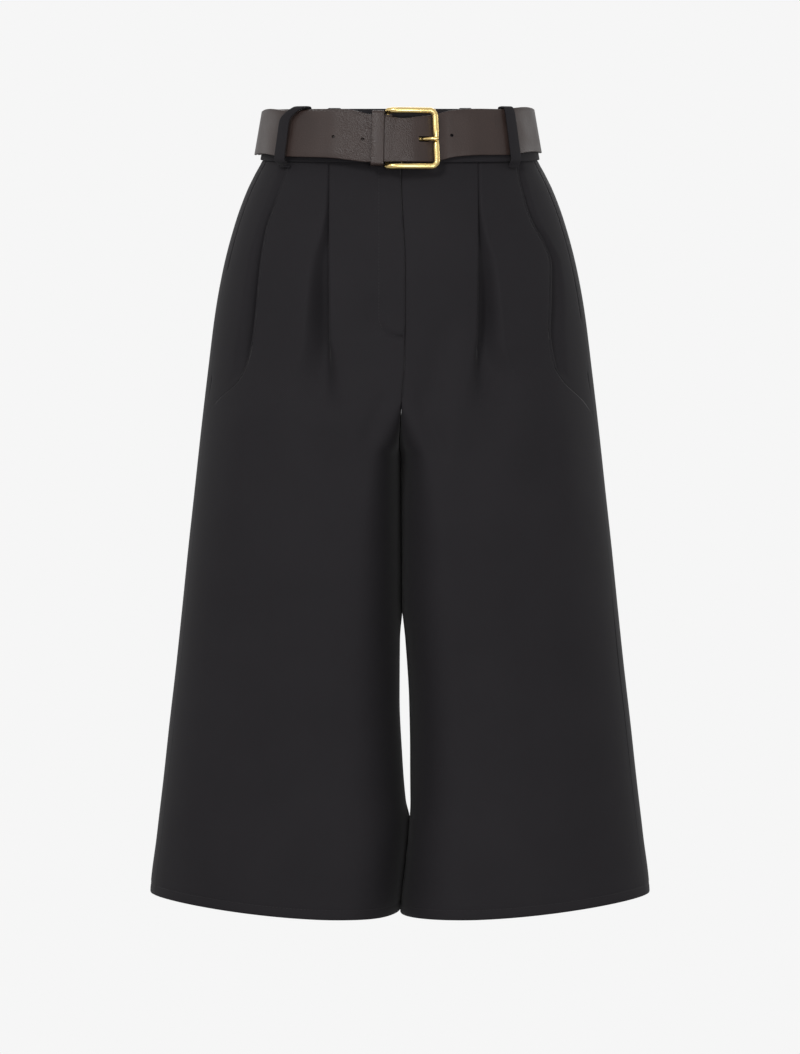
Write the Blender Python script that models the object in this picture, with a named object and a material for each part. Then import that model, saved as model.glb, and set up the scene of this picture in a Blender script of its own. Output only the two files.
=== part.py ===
"""Black capri pants of a wide culotte cut, worn shape with no wearer, with their own leather belt.

Sizes are in millimetres and become metres where a mesh is made. +Z is up, the front faces -Y,
and the origin is the middle of the waistband, where a wearer's waist would hold the garment.
A half of the garment is drawn with u, the distance outward from the centre plane: x = side * u.
"""

from collections import namedtuple

import bpy
import bmesh
import numpy as np

MM = 0.001

# Cloth and leather.
CLOTH = 1.2
BAND_CLOTH = 2.4
SEAM_GAP = 0.3
STRAP_THICK = 2.5
STRAP_WIDE = 39.2

# Heights of the garment.
BAND_HALF = 22.5
PANEL_TOP = -BAND_HALF - SEAM_GAP
FRONT_NOTCH = -239.0
BACK_NOTCH = -249.0
CROTCH = -287.0
CROTCH_DEPTH = 12.0
HEM = -698.5
POCKET_END = -255.0

# The waist's tilt as a slope, and the height where it has faded out; the hem's lift at the outer side.
TILT = 0.096
TILT_CHANGE = 0.013
TILT_END = -210.0
TILT_FADE = 180.0
HEM_LIFT = 17.5
LIFT_FROM = 57.0
LIFT_REACH = 167.0
LIFT_POWER = 1.6
LIFT_TOP = -380.0
LIFT_FADE = 300.0

# One row per height: half width, depth to the front and depth to the back.
Section = namedtuple("Section", "z half_width front back")
SECTIONS = (
    Section(24, 115.4, 83, 84),
    Section(-22, 123.0, 88.4, 90.5),
    Section(-36, 130.0, 91, 94),
    Section(-50, 136.8, 94, 100),
    Section(-77, 146.8, 98, 109),
    Section(-117, 157.6, 103, 118),
    Section(-158, 165.2, 107, 124),
    Section(-212, 172.0, 111, 127),
    Section(-266, 178.3, 113, 125),
    Section(-320, 184.1, 113, 119),
    Section(-374, 190.0, 111, 113),
    Section(-428, 195.4, 108, 108),
    Section(-482, 200.8, 105, 105),
    Section(-536, 206.6, 103, 103),
    Section(-590, 212.0, 101, 101),
    Section(-644, 217.9, 99.5, 99.5),
    Section(-703, 224.0, 98, 98),
)
FRONT_ROUND = 2.3
BACK_ROUND = 2.25
INNER_ROUND = 2.5

# One row per height: how far out the front-most and the back-most line of each leg stands.
Crest = namedtuple("Crest", "z front back")
CRESTS = (
    Crest(24, 0, 0),
    Crest(-193, 0, 0),
    Crest(-239, 6, 4),
    Crest(-265, 17, 14),
    Crest(-303, 31, 31),
    Crest(-363, 41, 41),
    Crest(-453, 48, 48),
    Crest(-703, 57, 57),
)

# One row per height: the centre seam above the crotch and the inner sides of the two legs, as x.
Inner = namedtuple("Inner", "z right_leg left_leg lean")
INNERS = (
    Inner(-33, 0.9, 0.9, 0.0),
    Inner(-120, 4.6, 4.6, 0.0),
    Inner(-209, 4.0, 4.0, 0.0),
    Inner(-238, 1.8, 1.8, 0.4),
    Inner(-250, 1.8, 1.8, 2.6),
    Inner(-293, 1.8, 1.8, 2.6),
    Inner(-418, 1.8, 1.8, 2.6),
    Inner(-455, 0.0, 4.4, 0.8),
    Inner(-508, 0.0, 7.9, 0.0),
    Inner(-560, 2.4, 8.8, 0.0),
    Inner(-600, 5.3, 8.8, 0.8),
    Inner(-618, 8.0, 8.2, 2.6),
    Inner(-658, 4.2, 4.4, 2.6),
    Inner(-703, 0.0, 0.0, 2.6),
)
LEAN_LENGTH = 40.0
LEAN_REACH = 26.0
INNER_CLEAR = 0.85
INNER_CLEAR_RISE = 8.0

# One row per height of a pleat: how far it is turned back, its turns' length and its hidden layer.
Pleat = namedtuple("Pleat", "z turn_degrees turn_length layer rise")
PLEATS = (
    Pleat(-20, 180, 4.2, 20.0, 34),
    Pleat(-73, 178, 4.2, 16.0, 26),
    Pleat(-113, 165, 4.5, 11.0, 20),
    Pleat(-153, 140, 4.6, 6.0, 17),
    Pleat(-193, 105, 5.2, 3.4, 18),
    Pleat(-223, 62, 6.6, 3.4, 24),
    Pleat(-251, 24, 8.0, 4.0, 34),
    Pleat(-278, 0, 9.0, 6.0, 44),
    Pleat(-703, 0, 12.0, 9.0, 50),
)
PLEAT_OUT = {"right": 62.3, "left": 68.6}
PLEAT_SPREAD = 0.08

# One row per height of a pocket edge, as u on each side, and how deep the piece behind it lies.
Pocket = namedtuple("Pocket", "z right left right_deep left_deep")
POCKETS = (
    Pocket(-22, 101.0, 104.5, 1.7, 1.7),
    Pocket(-59, 111.0, 111.5, 4.4, 5.4),
    Pocket(-80, 118.0, 119.0, 7.6, 6.4),
    Pocket(-97, 121.3, 128.5, 10.0, 4.8),
    Pocket(-118, 124.2, 134.4, 12.0, 4.2),
    Pocket(-156, 127.4, 133.6, 13.0, 5.8),
    Pocket(-179, 129.6, 132.6, 12.0, 5.2),
    Pocket(-211, 136.0, 137.5, 6.5, 3.2),
    Pocket(-225, 144.0, 145.0, 1.7, 1.7),
    Pocket(-243, 161.0, 161.0, 1.7, 1.7),
)
POCKET_LAP = 13.0
POCKET_RISE = 19.0
POCKET_JOIN = -235.0
POCKET_JOIN_FADE = 20.0
SIDE_SEAM = 0.972

# How much the columns of a panel crowd where its section turns, and the reach of a smooth reading.
CROWDING = 0.9
SMOOTH_READ = 1.5

# Each panel has its own columns between its centre seam and a line that keeps outside the crest.
Border = namedtuple("Border", "least share")
FRONT_BORDER = Border(14.0, 0.85)
BACK_BORDER = Border(22.0, 0.75)

SIDES = {"right": -1, "left": 1}


def ease(value):
    """0 to 1 with a soft start and a soft end."""
    value = np.clip(value, 0.0, 1.0)
    return value * value * (3.0 - 2.0 * value)


def read_table(table, column, z):
    """A column of a table at z, its first column, along a smooth curve that never overshoots its rows."""
    rows = sorted(table)
    heights = np.array([row[0] for row in rows], float)
    values = np.array([getattr(row, column) for row in rows], float)
    steps = np.diff(heights)
    slopes = np.diff(values) / steps
    tangents = np.zeros(len(rows))
    for index in range(1, len(rows) - 1):
        before = slopes[index - 1]
        after = slopes[index]
        if before * after > 0:
            tangents[index] = 2.0 * before * after / (before + after)
    z = float(np.clip(z, heights[0], heights[-1]))
    index = int(np.clip(np.searchsorted(heights, z) - 1, 0, len(steps) - 1))
    part = (z - heights[index]) / steps[index]
    start = (1 + 2 * part) * (1 - part) ** 2 * values[index]
    end = part**2 * (3 - 2 * part) * values[index + 1]
    leave = part * (1 - part) ** 2 * steps[index] * tangents[index]
    arrive = part**2 * (part - 1) * steps[index] * tangents[index + 1]
    return start + end + leave + arrive


def quarter(centre, across, deep, power, count=90):
    """A quarter of a rounded rectangle from its side point (across, 0) to its end point (0, deep)."""
    if abs(deep) < 0.01:
        along = np.linspace(1.0, 0.0, count)
        return np.stack([centre[0] + across * along, np.full(count, centre[1])], axis=1)
    angle = np.linspace(0.0, np.pi / 2, count)
    flat = np.arctan2(np.sin(angle) * abs(deep), np.cos(angle) * abs(across))
    reach = (np.abs(np.cos(flat) / across) ** power + np.abs(np.sin(flat) / deep) ** power) ** (-1 / power)
    across_part = reach * np.cos(flat) * np.sign(across)
    deep_part = reach * np.sin(flat) * np.sign(deep)
    return np.stack([centre[0] + across_part, centre[1] + deep_part], axis=1)


def notch_depth(z, notch, depth):
    """Where the crotch seam runs at height z: on the cloth above the notch, at the crotch point below."""
    drop = np.clip((notch - z) / (notch - CROTCH), 0.0, 1.0)
    return CROTCH_DEPTH + (depth - CROTCH_DEPTH) * np.sqrt(1.0 - drop * drop)


def trim(points, across):
    """The part of a curve further out than this, starting exactly there; its u grows along it."""
    first = int(np.argmax(points[:, 0] > across))
    deep = np.interp(across, points[first - 1 : first + 1, 0], points[first - 1 : first + 1, 1])
    return np.concatenate([[(across, deep)], points[first:]])


def half_section(side_name, z):
    """(u, y) points of one half at height z, from its front inner end round its side to the back."""
    side = SIDES[side_name]
    wide = read_table(SECTIONS, "half_width", z)
    front = -read_table(SECTIONS, "front", z)
    back = read_table(SECTIONS, "back", z)
    inner = side * read_table(INNERS, side_name + "_leg", z)
    inner += INNER_CLEAR * ease((FRONT_NOTCH - z) / INNER_CLEAR_RISE)
    front_crest = read_table(CRESTS, "front", z)
    back_crest = read_table(CRESTS, "back", z)
    front_outer = quarter((front_crest, 0), wide - front_crest, front, FRONT_ROUND)[::-1]
    back_outer = quarter((back_crest, 0), wide - back_crest, back, BACK_ROUND)
    if z < FRONT_NOTCH:
        end = notch_depth(z, FRONT_NOTCH, front)
        front_inner = quarter((front_crest, end), inner - front_crest, front - end, INNER_ROUND)
    else:
        front_inner = front_outer[:0:-1] * (-1, 1) + (2 * front_crest, 0)
    if z < BACK_NOTCH:
        end = notch_depth(z, BACK_NOTCH, back)
        back_inner = quarter((back_crest, end), inner - back_crest, back - end, INNER_ROUND)[::-1]
    else:
        back_inner = back_outer[-2::-1] * (-1, 1) + (2 * back_crest, 0)
    if z >= FRONT_NOTCH:
        front_outer = trim(np.concatenate([front_inner, front_outer]), inner)
        front_inner = front_outer[:0]
    if z >= BACK_NOTCH:
        back_outer = trim(np.concatenate([back_outer, back_inner])[::-1], inner)[::-1]
        back_inner = back_outer[:0]
    points = np.concatenate([front_inner, front_outer, back_outer, back_inner])
    moved = np.linalg.norm(np.diff(points, axis=0), axis=1) > 1e-6
    return points[np.concatenate([[True], moved])]


class Curve:
    """A plan curve that can be read at any length along it."""

    def __init__(self, points):
        self.points = points
        steps = np.linalg.norm(np.diff(points, axis=0), axis=1)
        self.lengths = np.concatenate([[0.0], np.cumsum(steps)])
        self.total = self.lengths[-1]

    def at(self, lengths):
        lengths = np.asarray(lengths, float)
        across = np.interp(lengths, self.lengths, self.points[:, 0])
        deep = np.interp(lengths, self.lengths, self.points[:, 1])
        return np.stack([across, deep], axis=-1)

    def outward(self, lengths):
        ahead = self.at(np.minimum(np.asarray(lengths) + SMOOTH_READ, self.total))
        behind = self.at(np.maximum(np.asarray(lengths) - SMOOTH_READ, 0.0))
        along = ahead - behind
        along /= np.linalg.norm(along, axis=-1, keepdims=True)
        return np.stack([along[..., 1], -along[..., 0]], axis=-1)

    def front_length(self, across):
        """The length at which the front of the curve reaches this far out."""
        widest = int(np.argmax(self.points[:, 0]))
        crest = int(np.argmin(self.points[:, 1]))
        return float(np.interp(across, self.points[crest:widest, 0], self.lengths[crest:widest]))

    def back_length(self, across):
        """The length at which the back of the curve comes in to this far out."""
        widest = int(np.argmax(self.points[:, 0]))
        crest = int(np.argmax(self.points[:, 1]))
        stretch = slice(crest, widest, -1)
        return float(np.interp(across, self.points[stretch, 0], self.lengths[stretch]))

    def spread(self, start, end, count):
        """Lengths from start to end, closer together where the curve turns."""
        fine = np.linspace(start, end, 240)
        along = np.diff(self.at(fine), axis=0)
        heading = np.unwrap(np.arctan2(along[:, 1], along[:, 0]))
        turning = np.abs(np.gradient(heading))
        share = 1.0 / len(turning) + CROWDING * turning / 4.0
        reached = np.concatenate([[0.0], np.cumsum(share)])
        return np.interp(np.linspace(0.0, reached[-1], count), reached, fine)


def place(side_name, points, z):
    """World points, in mm, of plan points (u, y) at nominal height z, with tilt, hem lift and lean."""
    side = SIDES[side_name]
    u = points[:, 0]
    y = points[:, 1]
    seam = 0.5 * (read_table(INNERS, "right_leg", z) + read_table(INNERS, "left_leg", z))
    lean = read_table(INNERS, "lean", z) * np.sin(y / LEAN_LENGTH)
    x = side * u
    x = x + lean * np.exp(-(((x - seam) / LEAN_REACH) ** 2))
    return np.stack([x, y, z + waist_tilt(y, z) + hem_lift(u, z)], axis=1)


def waist_tilt(y, z):
    """The waist sits lower in front: a small tilt that fades out down the hips."""
    slope = TILT - TILT_CHANGE * np.clip(z / BAND_HALF, -1.0, 1.0)
    return slope * y * ease((z - TILT_END) / TILT_FADE)


def hem_lift(u, z):
    """The flared outer side of each leg lifts the hem."""
    outward = np.clip((u - LIFT_FROM) / LIFT_REACH, 0.0, 1.1)
    return HEM_LIFT * outward**LIFT_POWER * ease((LIFT_TOP - z) / LIFT_FADE)


def row_heights(bands):
    """Heights from bands of (top, bottom, rows in the band)."""
    heights = [bands[0][0]]
    for top, bottom, rows in bands:
        heights += list(np.linspace(top, bottom, rows + 1)[1:])
    return heights


def side_seam_at(z):
    """How far out the side seam runs at height z."""
    return read_table(SECTIONS, "half_width", z) * SIDE_SEAM


def style_line_at(side_name, z):
    """How far out the pocket's edge runs at height z; below the pocket it runs on to the side seam."""
    edge = read_table(POCKETS, side_name, z)
    joined = ease((POCKET_JOIN - z) / POCKET_JOIN_FADE)
    return edge + joined * (side_seam_at(z) - edge)


def pleat_row(z, turn_columns, layer_columns, rise_columns):
    """(length, depth) of the pleat's folded stretch at height z, with length 0 at its folded edge."""
    turn = np.radians(read_table(PLEATS, "turn_degrees", z))
    turn_length = read_table(PLEATS, "turn_length", z)
    layer = read_table(PLEATS, "layer", z)
    rise = read_table(PLEATS, "rise", z)
    headings = list(np.linspace(0.0, turn, 8 * turn_columns + 1))
    steps = [turn_length / (8 * turn_columns)] * (8 * turn_columns)
    steps += [layer / (8 * layer_columns)] * (8 * layer_columns)
    headings += [turn] * (8 * layer_columns)
    steps += [turn_length / (8 * turn_columns)] * (8 * turn_columns)
    headings += list(np.linspace(turn, 0.0, 8 * turn_columns + 1))[1:]
    headings = np.array(headings)
    middles = 0.5 * (headings[1:] + headings[:-1])
    along = np.concatenate([[0.0], np.cumsum(np.array(steps) * np.cos(middles))])[::8]
    deep = np.concatenate([[0.0], np.cumsum(np.array(steps) * np.sin(middles))])[::8]
    edge = along[: turn_columns + layer_columns + 1].max()
    part = np.linspace(0.0, 1.0, rise_columns + 1)[1:]
    rise_along = along[-1] + rise * part
    rise_deep = deep[-1] * (1.0 - ease(part))
    return np.concatenate([along, rise_along]) - edge, np.concatenate([deep, rise_deep])


def wall(curve, lengths, depths, thick):
    """Outer and inner plan points of a wall whose middle runs at these lengths and depths."""
    middle = curve.at(lengths) - curve.outward(lengths) * depths[:, None]
    along = np.gradient(middle, axis=0)
    along /= np.linalg.norm(along, axis=1, keepdims=True)
    outward = np.stack([along[:, 1], -along[:, 0]], axis=1)
    return middle + outward * thick / 2, middle - outward * thick / 2


def front_row(side_name, z):
    """Outer and inner points of a front panel at height z, from its centre to its side edge."""
    curve = Curve(half_section(side_name, z))
    start = SEAM_GAP / 2
    pleat_at = PLEAT_OUT[side_name] + PLEAT_SPREAD * max(0.0, FRONT_NOTCH - z)
    fold, deep = pleat_row(z, 4, 2, 5)
    fold = fold + curve.front_length(pleat_at)
    end = curve.front_length(style_line_at(side_name, z)) - SEAM_GAP / 2
    border = FRONT_BORDER.least + FRONT_BORDER.share * read_table(CRESTS, "front", z)
    border = curve.front_length(border)
    inner = np.concatenate([curve.spread(start, border, 8), np.linspace(border, fold[0], 4)[1:-1]])
    rest = curve.spread(fold[-1], end, 9)[1:]
    lengths = np.concatenate([inner, fold, rest])
    depths = np.concatenate([np.zeros(len(inner)), deep, np.zeros(len(rest))])
    return wall(curve, lengths, depths, CLOTH)


def back_row(side_name, z):
    """Outer and inner points of a back panel at height z, from its side edge to its centre."""
    curve = Curve(half_section(side_name, z))
    start = curve.front_length(side_seam_at(z)) + SEAM_GAP / 2
    border = BACK_BORDER.least + BACK_BORDER.share * read_table(CRESTS, "back", z)
    border = curve.back_length(border)
    outer = curve.spread(start, border, 12)
    lengths = np.concatenate([outer, curve.spread(border, curve.total - SEAM_GAP / 2, 9)[1:]])
    return wall(curve, lengths, np.zeros(len(lengths)), CLOTH)


def hip_row(side_name, z):
    """Outer and inner points of the hip piece behind a pocket edge, at height z."""
    curve = Curve(half_section(side_name, z))
    edge = curve.front_length(style_line_at(side_name, z))
    seam = curve.front_length(side_seam_at(z)) - SEAM_GAP / 2
    lengths = np.linspace(edge - POCKET_LAP, seam, 9)
    deep = read_table(POCKETS, side_name + "_deep", z)
    rise = min(POCKET_RISE, max(seam - edge, 0.5))
    depths = deep * (1.0 - ease((lengths - edge - 0.4) / rise))
    return wall(curve, lengths, depths, CLOTH)


def colour_material(name, red, green, blue, roughness, metallic=0.0):
    """A Principled material of a linear colour."""
    material = bpy.data.materials.new(name)
    material.use_nodes = True
    shader = material.node_tree.nodes["Principled BSDF"]
    shader.inputs["Base Color"].default_value = (red, green, blue, 1.0)
    shader.inputs["Roughness"].default_value = roughness
    shader.inputs["Metallic"].default_value = metallic
    return material


def add_object(name, mesh_data, material):
    """Turns a bmesh into a named object, its faces outward and its round parts smooth."""
    bmesh.ops.remove_doubles(mesh_data, verts=mesh_data.verts, dist=0.00001)
    bmesh.ops.recalc_face_normals(mesh_data, faces=mesh_data.faces)
    mesh = bpy.data.meshes.new(name)
    mesh_data.to_mesh(mesh)
    mesh_data.free()
    mesh.shade_smooth()
    mesh.set_sharp_from_angle(angle=np.radians(50))
    mesh.materials.append(material)
    piece = bpy.data.objects.new(name, mesh)
    bpy.context.scene.collection.objects.link(piece)
    return piece


def loft(rings, closed_path=False):
    """A bmesh whose faces join each ring of points (mm) to the next, with both ends filled."""
    mesh_data = bmesh.new()
    rows = [[mesh_data.verts.new([c * MM for c in point]) for point in ring] for ring in rings]
    count = len(rows[0])
    pairs = list(zip(rows[:-1], rows[1:]))
    if closed_path:
        pairs.append((rows[-1], rows[0]))
    for before, after in pairs:
        for index in range(count):
            following = (index + 1) % count
            mesh_data.faces.new((before[index], before[following], after[following], after[index]))
    if not closed_path:
        mesh_data.faces.new(rows[0])
        mesh_data.faces.new(rows[-1])
    return mesh_data


def cloth_panel(name, side_name, heights, row_of, material):
    """A cloth wall of a row of points per height: its outer face, its inner face and its edges."""
    mesh_data = bmesh.new()
    rings = []
    for z in heights:
        outer, inner = row_of(side_name, z)
        ring = []
        for points in (outer, inner[::-1]):
            placed = place(side_name, points, z) * MM
            ring += [mesh_data.verts.new(point) for point in placed]
        rings.append(ring)
    count = len(rings[0])
    half = count // 2
    for before, after in zip(rings[:-1], rings[1:]):
        for index in range(count):
            following = (index + 1) % count
            mesh_data.faces.new((before[index], before[following], after[following], after[index]))
    for ring in (rings[0], rings[-1]):
        for index in range(half - 1):
            mirrored = count - 1 - index
            mesh_data.faces.new((ring[index], ring[index + 1], ring[mirrored - 1], ring[mirrored]))
    return add_object(name, mesh_data, material)


# The ring at the waist, for the band, the belt, the loops and the buckle.


def ring_size(column, z):
    """A size of the garment at height z, with straight sides over the band's height."""
    if z < -BAND_HALF:
        return read_table(SECTIONS, column, z)
    low = read_table(SECTIONS, column, -BAND_HALF)
    high = read_table(SECTIONS, column, BAND_HALF)
    return low + (high - low) * (z + BAND_HALF) / (2 * BAND_HALF)


def ring_point(angle, z, out):
    """A world point (mm) on the waist ring: angle 0 is the front and grows towards +x."""
    wide = ring_size("half_width", z)
    deep = ring_size("front" if np.cos(angle) > 0 else "back", z)
    power = FRONT_ROUND if np.cos(angle) > 0 else BACK_ROUND
    across = abs(np.sin(angle) / wide)
    along = abs(np.cos(angle) / deep)
    reach = (across**power + along**power) ** (-1 / power)
    x = reach * np.sin(angle)
    y = -reach * np.cos(angle)
    normal_x = np.sign(np.sin(angle)) * (abs(x) / wide) ** (power - 1) / wide
    normal_y = -np.sign(np.cos(angle)) * (abs(y) / deep) ** (power - 1) / deep
    length = np.hypot(normal_x, normal_y)
    x += out * normal_x / length
    y += out * normal_y / length
    return np.array([x, y, z + waist_tilt(y, z)])


def angle_at(x):
    """The ring's angle at which its front reaches x, at mid height."""
    wide = ring_size("half_width", 0)
    deep = ring_size("front", 0)
    y = deep * (1 - min(abs(x) / wide, 1.0) ** FRONT_ROUND) ** (1 / FRONT_ROUND)
    return float(np.arctan2(x, y))


def angle_off(x, out):
    """The ring's angle at which a point that stands off the band's face reaches x."""
    aim = x
    for _ in range(8):
        aim += 0.8 * (x - ring_point(angle_at(aim), 0.0, BAND_FACE + out)[0])
    return angle_at(aim)


def band_place(x, out, z):
    """A world point (mm) in front of the band, at this x and height, standing off the band's face."""
    level = z - waist_tilt(-ring_size("front", 0) - BAND_FACE - out, 0.0)
    return ring_point(angle_off(x, out), level, BAND_FACE + out)


BAND_OUT = 1.3
BAND_FACE = BAND_OUT + BAND_CLOTH / 2
BAND_SLIT_X = 1.0
BAND_SLIT_TURN = 0.004


def build_waistband(material):
    """One band round the waist, open by a hair at the centre front, behind the buckle."""
    rings = []
    start = angle_at(BAND_SLIT_X) + BAND_SLIT_TURN
    end = start + 2 * np.pi - 2 * BAND_SLIT_TURN
    for angle in np.linspace(start, end, 65):
        outer_low = ring_point(angle, -BAND_HALF, BAND_FACE)
        outer_high = ring_point(angle, BAND_HALF, BAND_FACE)
        inner_high = ring_point(angle, BAND_HALF, BAND_FACE - BAND_CLOTH)
        inner_low = ring_point(angle, -BAND_HALF, BAND_FACE - BAND_CLOTH)
        rings.append((outer_low, outer_high, inner_high, inner_low))
    return add_object("waistband", loft(rings), material)


# The strap's way round the waist: how far its middle stands off the band at each x in front.
Stand = namedtuple("Stand", "x out")
FOLDED_END = (Stand(-62, 2.6), Stand(-40, 3.4), Stand(-22, 4.6), Stand(-11, 3.85))
MAIN_LAYER = (
    Stand(-130, 1.8),
    Stand(-95, 1.9),
    Stand(-78, 3.4),
    Stand(-60, 5.8),
    Stand(-38, 6.9),
    Stand(-22, 9.0),
    Stand(-11, 10.55),
)
FREE_END = (
    Stand(-130, 4.95),
    Stand(-95, 5.1),
    Stand(-78, 6.8),
    Stand(-60, 9.1),
    Stand(-38, 10.4),
    Stand(-22, 12.5),
    Stand(-11, 13.8),
    Stand(0, 13.6),
    Stand(10, 12.6),
    Stand(20, 9.6),
    Stand(27, 6.6),
    Stand(34, 4.2),
    Stand(42, 3.0),
    Stand(56, 2.2),
    Stand(80, 1.8),
)
# The height of the strap's middle line at each x in front, for its main layer and its free end.
Level = namedtuple("Level", "x main free")
LEVELS = (
    Level(-125, 0.4, 0.4),
    Level(-104, -2.8, -4.0),
    Level(-85, -4.4, -5.8),
    Level(-60, -5.4, -7.6),
    Level(-45, -6.6, -9.6),
    Level(-25, -11.0, -11.8),
    Level(-3, -11.5, -11.5),
    Level(24, -11.4, -11.4),
    Level(35, -9.6, -9.6),
    Level(47, -6.6, -6.6),
    Level(66, -4.7, -4.7),
    Level(92, -3.4, -3.4),
    Level(125, 2.3, 2.3),
)
BACK_LEVEL = 9.5
FREE_TURN = 1.05
PIVOT_X = -11.0
PIVOT_OUT = 7.2
PIVOT_RADIUS = 1.8
BUCKLE_LEVEL = -11.65
PRONG_LEVEL = BUCKLE_LEVEL - 0.6

# The strap's tip past its last section: how far on, and how much of its height is rounded away.
TIP_STEPS = ((9.0, 0.12), (16.0, 0.55))

# The boxes that cut the prong's slot and hole: their reach in x, off the band, and their height.
SLOT_X = (-19.0, 2.0)
SLOT_OUT = (-2.0, 12.1)
SLOT_TALL = 7.5
HOLE_X = (16.6, 25.6)
HOLE_OUT = (6.0, 16.0)
HOLE_TALL = 4.6


def belt_level(x, y, layer):
    """The height of the belt's middle line above or below the band's own middle line."""
    front = read_table(LEVELS, layer, x) - waist_tilt(y, 0.0)
    back = BACK_LEVEL - waist_tilt(y, 0.0)
    return front + (back - front) * ease((y + 20.0) / 100.0)


def strap_section(angle, out, layer):
    """The four corners of the strap at a place on its way."""
    probe = ring_point(angle, 0.0, BAND_FACE + out)
    middle = belt_level(probe[0], probe[1], layer)
    low = middle - STRAP_WIDE / 2
    high = middle + STRAP_WIDE / 2
    inner = BAND_FACE + out - STRAP_THICK / 2
    outer = BAND_FACE + out + STRAP_THICK / 2
    corners = ((outer, low), (outer, high), (inner, high), (inner, low))
    return [ring_point(angle, z, reach) for reach, z in corners]


def strap_rings():
    """The strap from its folded end, round the buckle's bar and the waist, to its free tip."""
    rings = []
    for x in np.linspace(-62, PIVOT_X, 7):
        out = read_table(FOLDED_END, "out", x)
        # On the folded end the outer side of the leather faces the band.
        rings.append(strap_section(angle_off(x, out), out, "main")[::-1])
    turn_radius = read_table(MAIN_LAYER, "out", PIVOT_X) - PIVOT_OUT
    for part in np.linspace(0.0, np.pi, 9)[1:-1]:
        ring = []
        for out_add, z_add in ((1, -1), (1, 1), (-1, 1), (-1, -1)):
            reach = turn_radius + out_add * STRAP_THICK / 2
            x = PIVOT_X + reach * np.sin(part)
            out = PIVOT_OUT - reach * np.cos(part)
            level = read_table(LEVELS, "main", PIVOT_X)
            ring.append(band_place(x, out, level + z_add * STRAP_WIDE / 2))
        rings.append(ring)
    for x in np.linspace(PIVOT_X, -100, 13):
        out = read_table(MAIN_LAYER, "out", x)
        rings.append(strap_section(angle_off(x, out), out, "main"))
    out = read_table(MAIN_LAYER, "out", -130)
    round_start = angle_off(-106, out)
    round_end = angle_off(82, out) - 2 * np.pi
    for angle in np.linspace(round_start, round_end, 44):
        rings.append(strap_section(angle, out, "main"))
    for x in np.linspace(76, -100, 32):
        out = read_table(FREE_END, "out", x)
        rings.append(strap_section(angle_off(x, out) - 2 * np.pi, out, "free"))
    out = read_table(FREE_END, "out", -130)
    last_angle = angle_off(-106, out) - 2 * np.pi
    for angle in np.linspace(last_angle, last_angle - FREE_TURN, 12):
        rings.append(strap_section(angle, out, "free"))
    return rings


def build_strap(material):
    """The leather strap, with a slot for the prong in its fold and one hole for its tip."""
    rings = strap_rings()
    last = rings[-1]
    middle = sum(last) / 4
    direction = middle - sum(rings[-2]) / 4
    direction /= np.linalg.norm(direction)
    for along, narrowing in TIP_STEPS:
        rings.append([corner + direction * along + (middle - corner) * (0, 0, narrowing) for corner in last])
    strap = add_object("belt_strap", loft(rings), material)
    slot = add_cutter("prong_slot", SLOT_X, SLOT_OUT, SLOT_TALL, material)
    hole = add_cutter("prong_hole", HOLE_X, HOLE_OUT, HOLE_TALL, material)
    for cutter in (slot, hole):
        cut = strap.modifiers.new(cutter.name, "BOOLEAN")
        cut.operation = "DIFFERENCE"
        cut.object = cutter
    return strap


def add_cutter(name, x_range, out_range, tall, material):
    """A hidden box, in the waist ring's own directions, that cuts an opening in the strap."""
    mesh_data = bmesh.new()
    corners = []
    for x in x_range:
        for out in out_range:
            for z in (-tall / 2, tall / 2):
                corners.append(mesh_data.verts.new(band_place(x, out, PRONG_LEVEL + z) * MM))
    bmesh.ops.convex_hull(mesh_data, input=corners)
    cutter = add_object(name, mesh_data, material)
    cutter.hide_render = True
    cutter.display_type = "WIRE"
    return cutter


KEEPER_THICK = 1.5
KEEPER_WIDE = 11.0
KEEPER_X = -19.6
KEEPER_HALF = STRAP_WIDE / 2 + 2.5
KEEPER_INNER_OUT = 1.6
KEEPER_OUTER_OUT = 16.2
KEEPER_CORNER = 2.2
KEEPER_LEVEL = BUCKLE_LEVEL + 0.1


def build_keeper(material):
    """A leather loop round all the strap's layers, just beside the buckle."""
    high = KEEPER_HALF - KEEPER_CORNER
    near = KEEPER_INNER_OUT + KEEPER_CORNER
    far = KEEPER_OUTER_OUT - KEEPER_CORNER
    corners = ((high, far), (high, near), (-high, near), (-high, far))
    rings = []
    for index, (centre_z, centre_out) in enumerate(corners):
        for part in np.linspace(0, np.pi / 2, 4):
            turn = part + index * np.pi / 2
            ring = []
            for x_add, thick_add in ((-1, -1), (1, -1), (1, 1), (-1, 1)):
                reach = KEEPER_CORNER + thick_add * KEEPER_THICK / 2
                z = KEEPER_LEVEL + centre_z + reach * np.sin(turn)
                out = centre_out + reach * np.cos(turn)
                ring.append(band_place(KEEPER_X + x_add * KEEPER_WIDE / 2, out, z))
            rings.append(ring)
    return add_object("belt_keeper", loft(rings, closed_path=True), material)


def tube_rings(path, radii, sides):
    """Rings of points round a path, each in the plane across the path."""
    path = [np.array(point, float) for point in path]
    rings = []
    count = len(path)
    for index in range(count):
        along = path[(index + 1) % count] - path[index - 1]
        along /= np.linalg.norm(along)
        reference = np.array([0.0, 1.0, 0.0])
        side = np.cross(along, reference)
        side /= np.linalg.norm(side)
        other = np.cross(side, along)
        ring = []
        for turn in np.linspace(0, 2 * np.pi, sides, endpoint=False):
            ring.append(path[index] + radii[index] * (np.cos(turn) * side + np.sin(turn) * other))
        rings.append(ring)
    return rings


BAR_RADIUS = 2.7
PRONG_RADIUS = 1.6
RIGHT_BAR_X = 31.6
RIGHT_BAR_OUT = 9.6
FRAME_HALF = 25.9 - BAR_RADIUS
FRAME_CORNER = 5.0
SEAT_PINCH = 0.35

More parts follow.
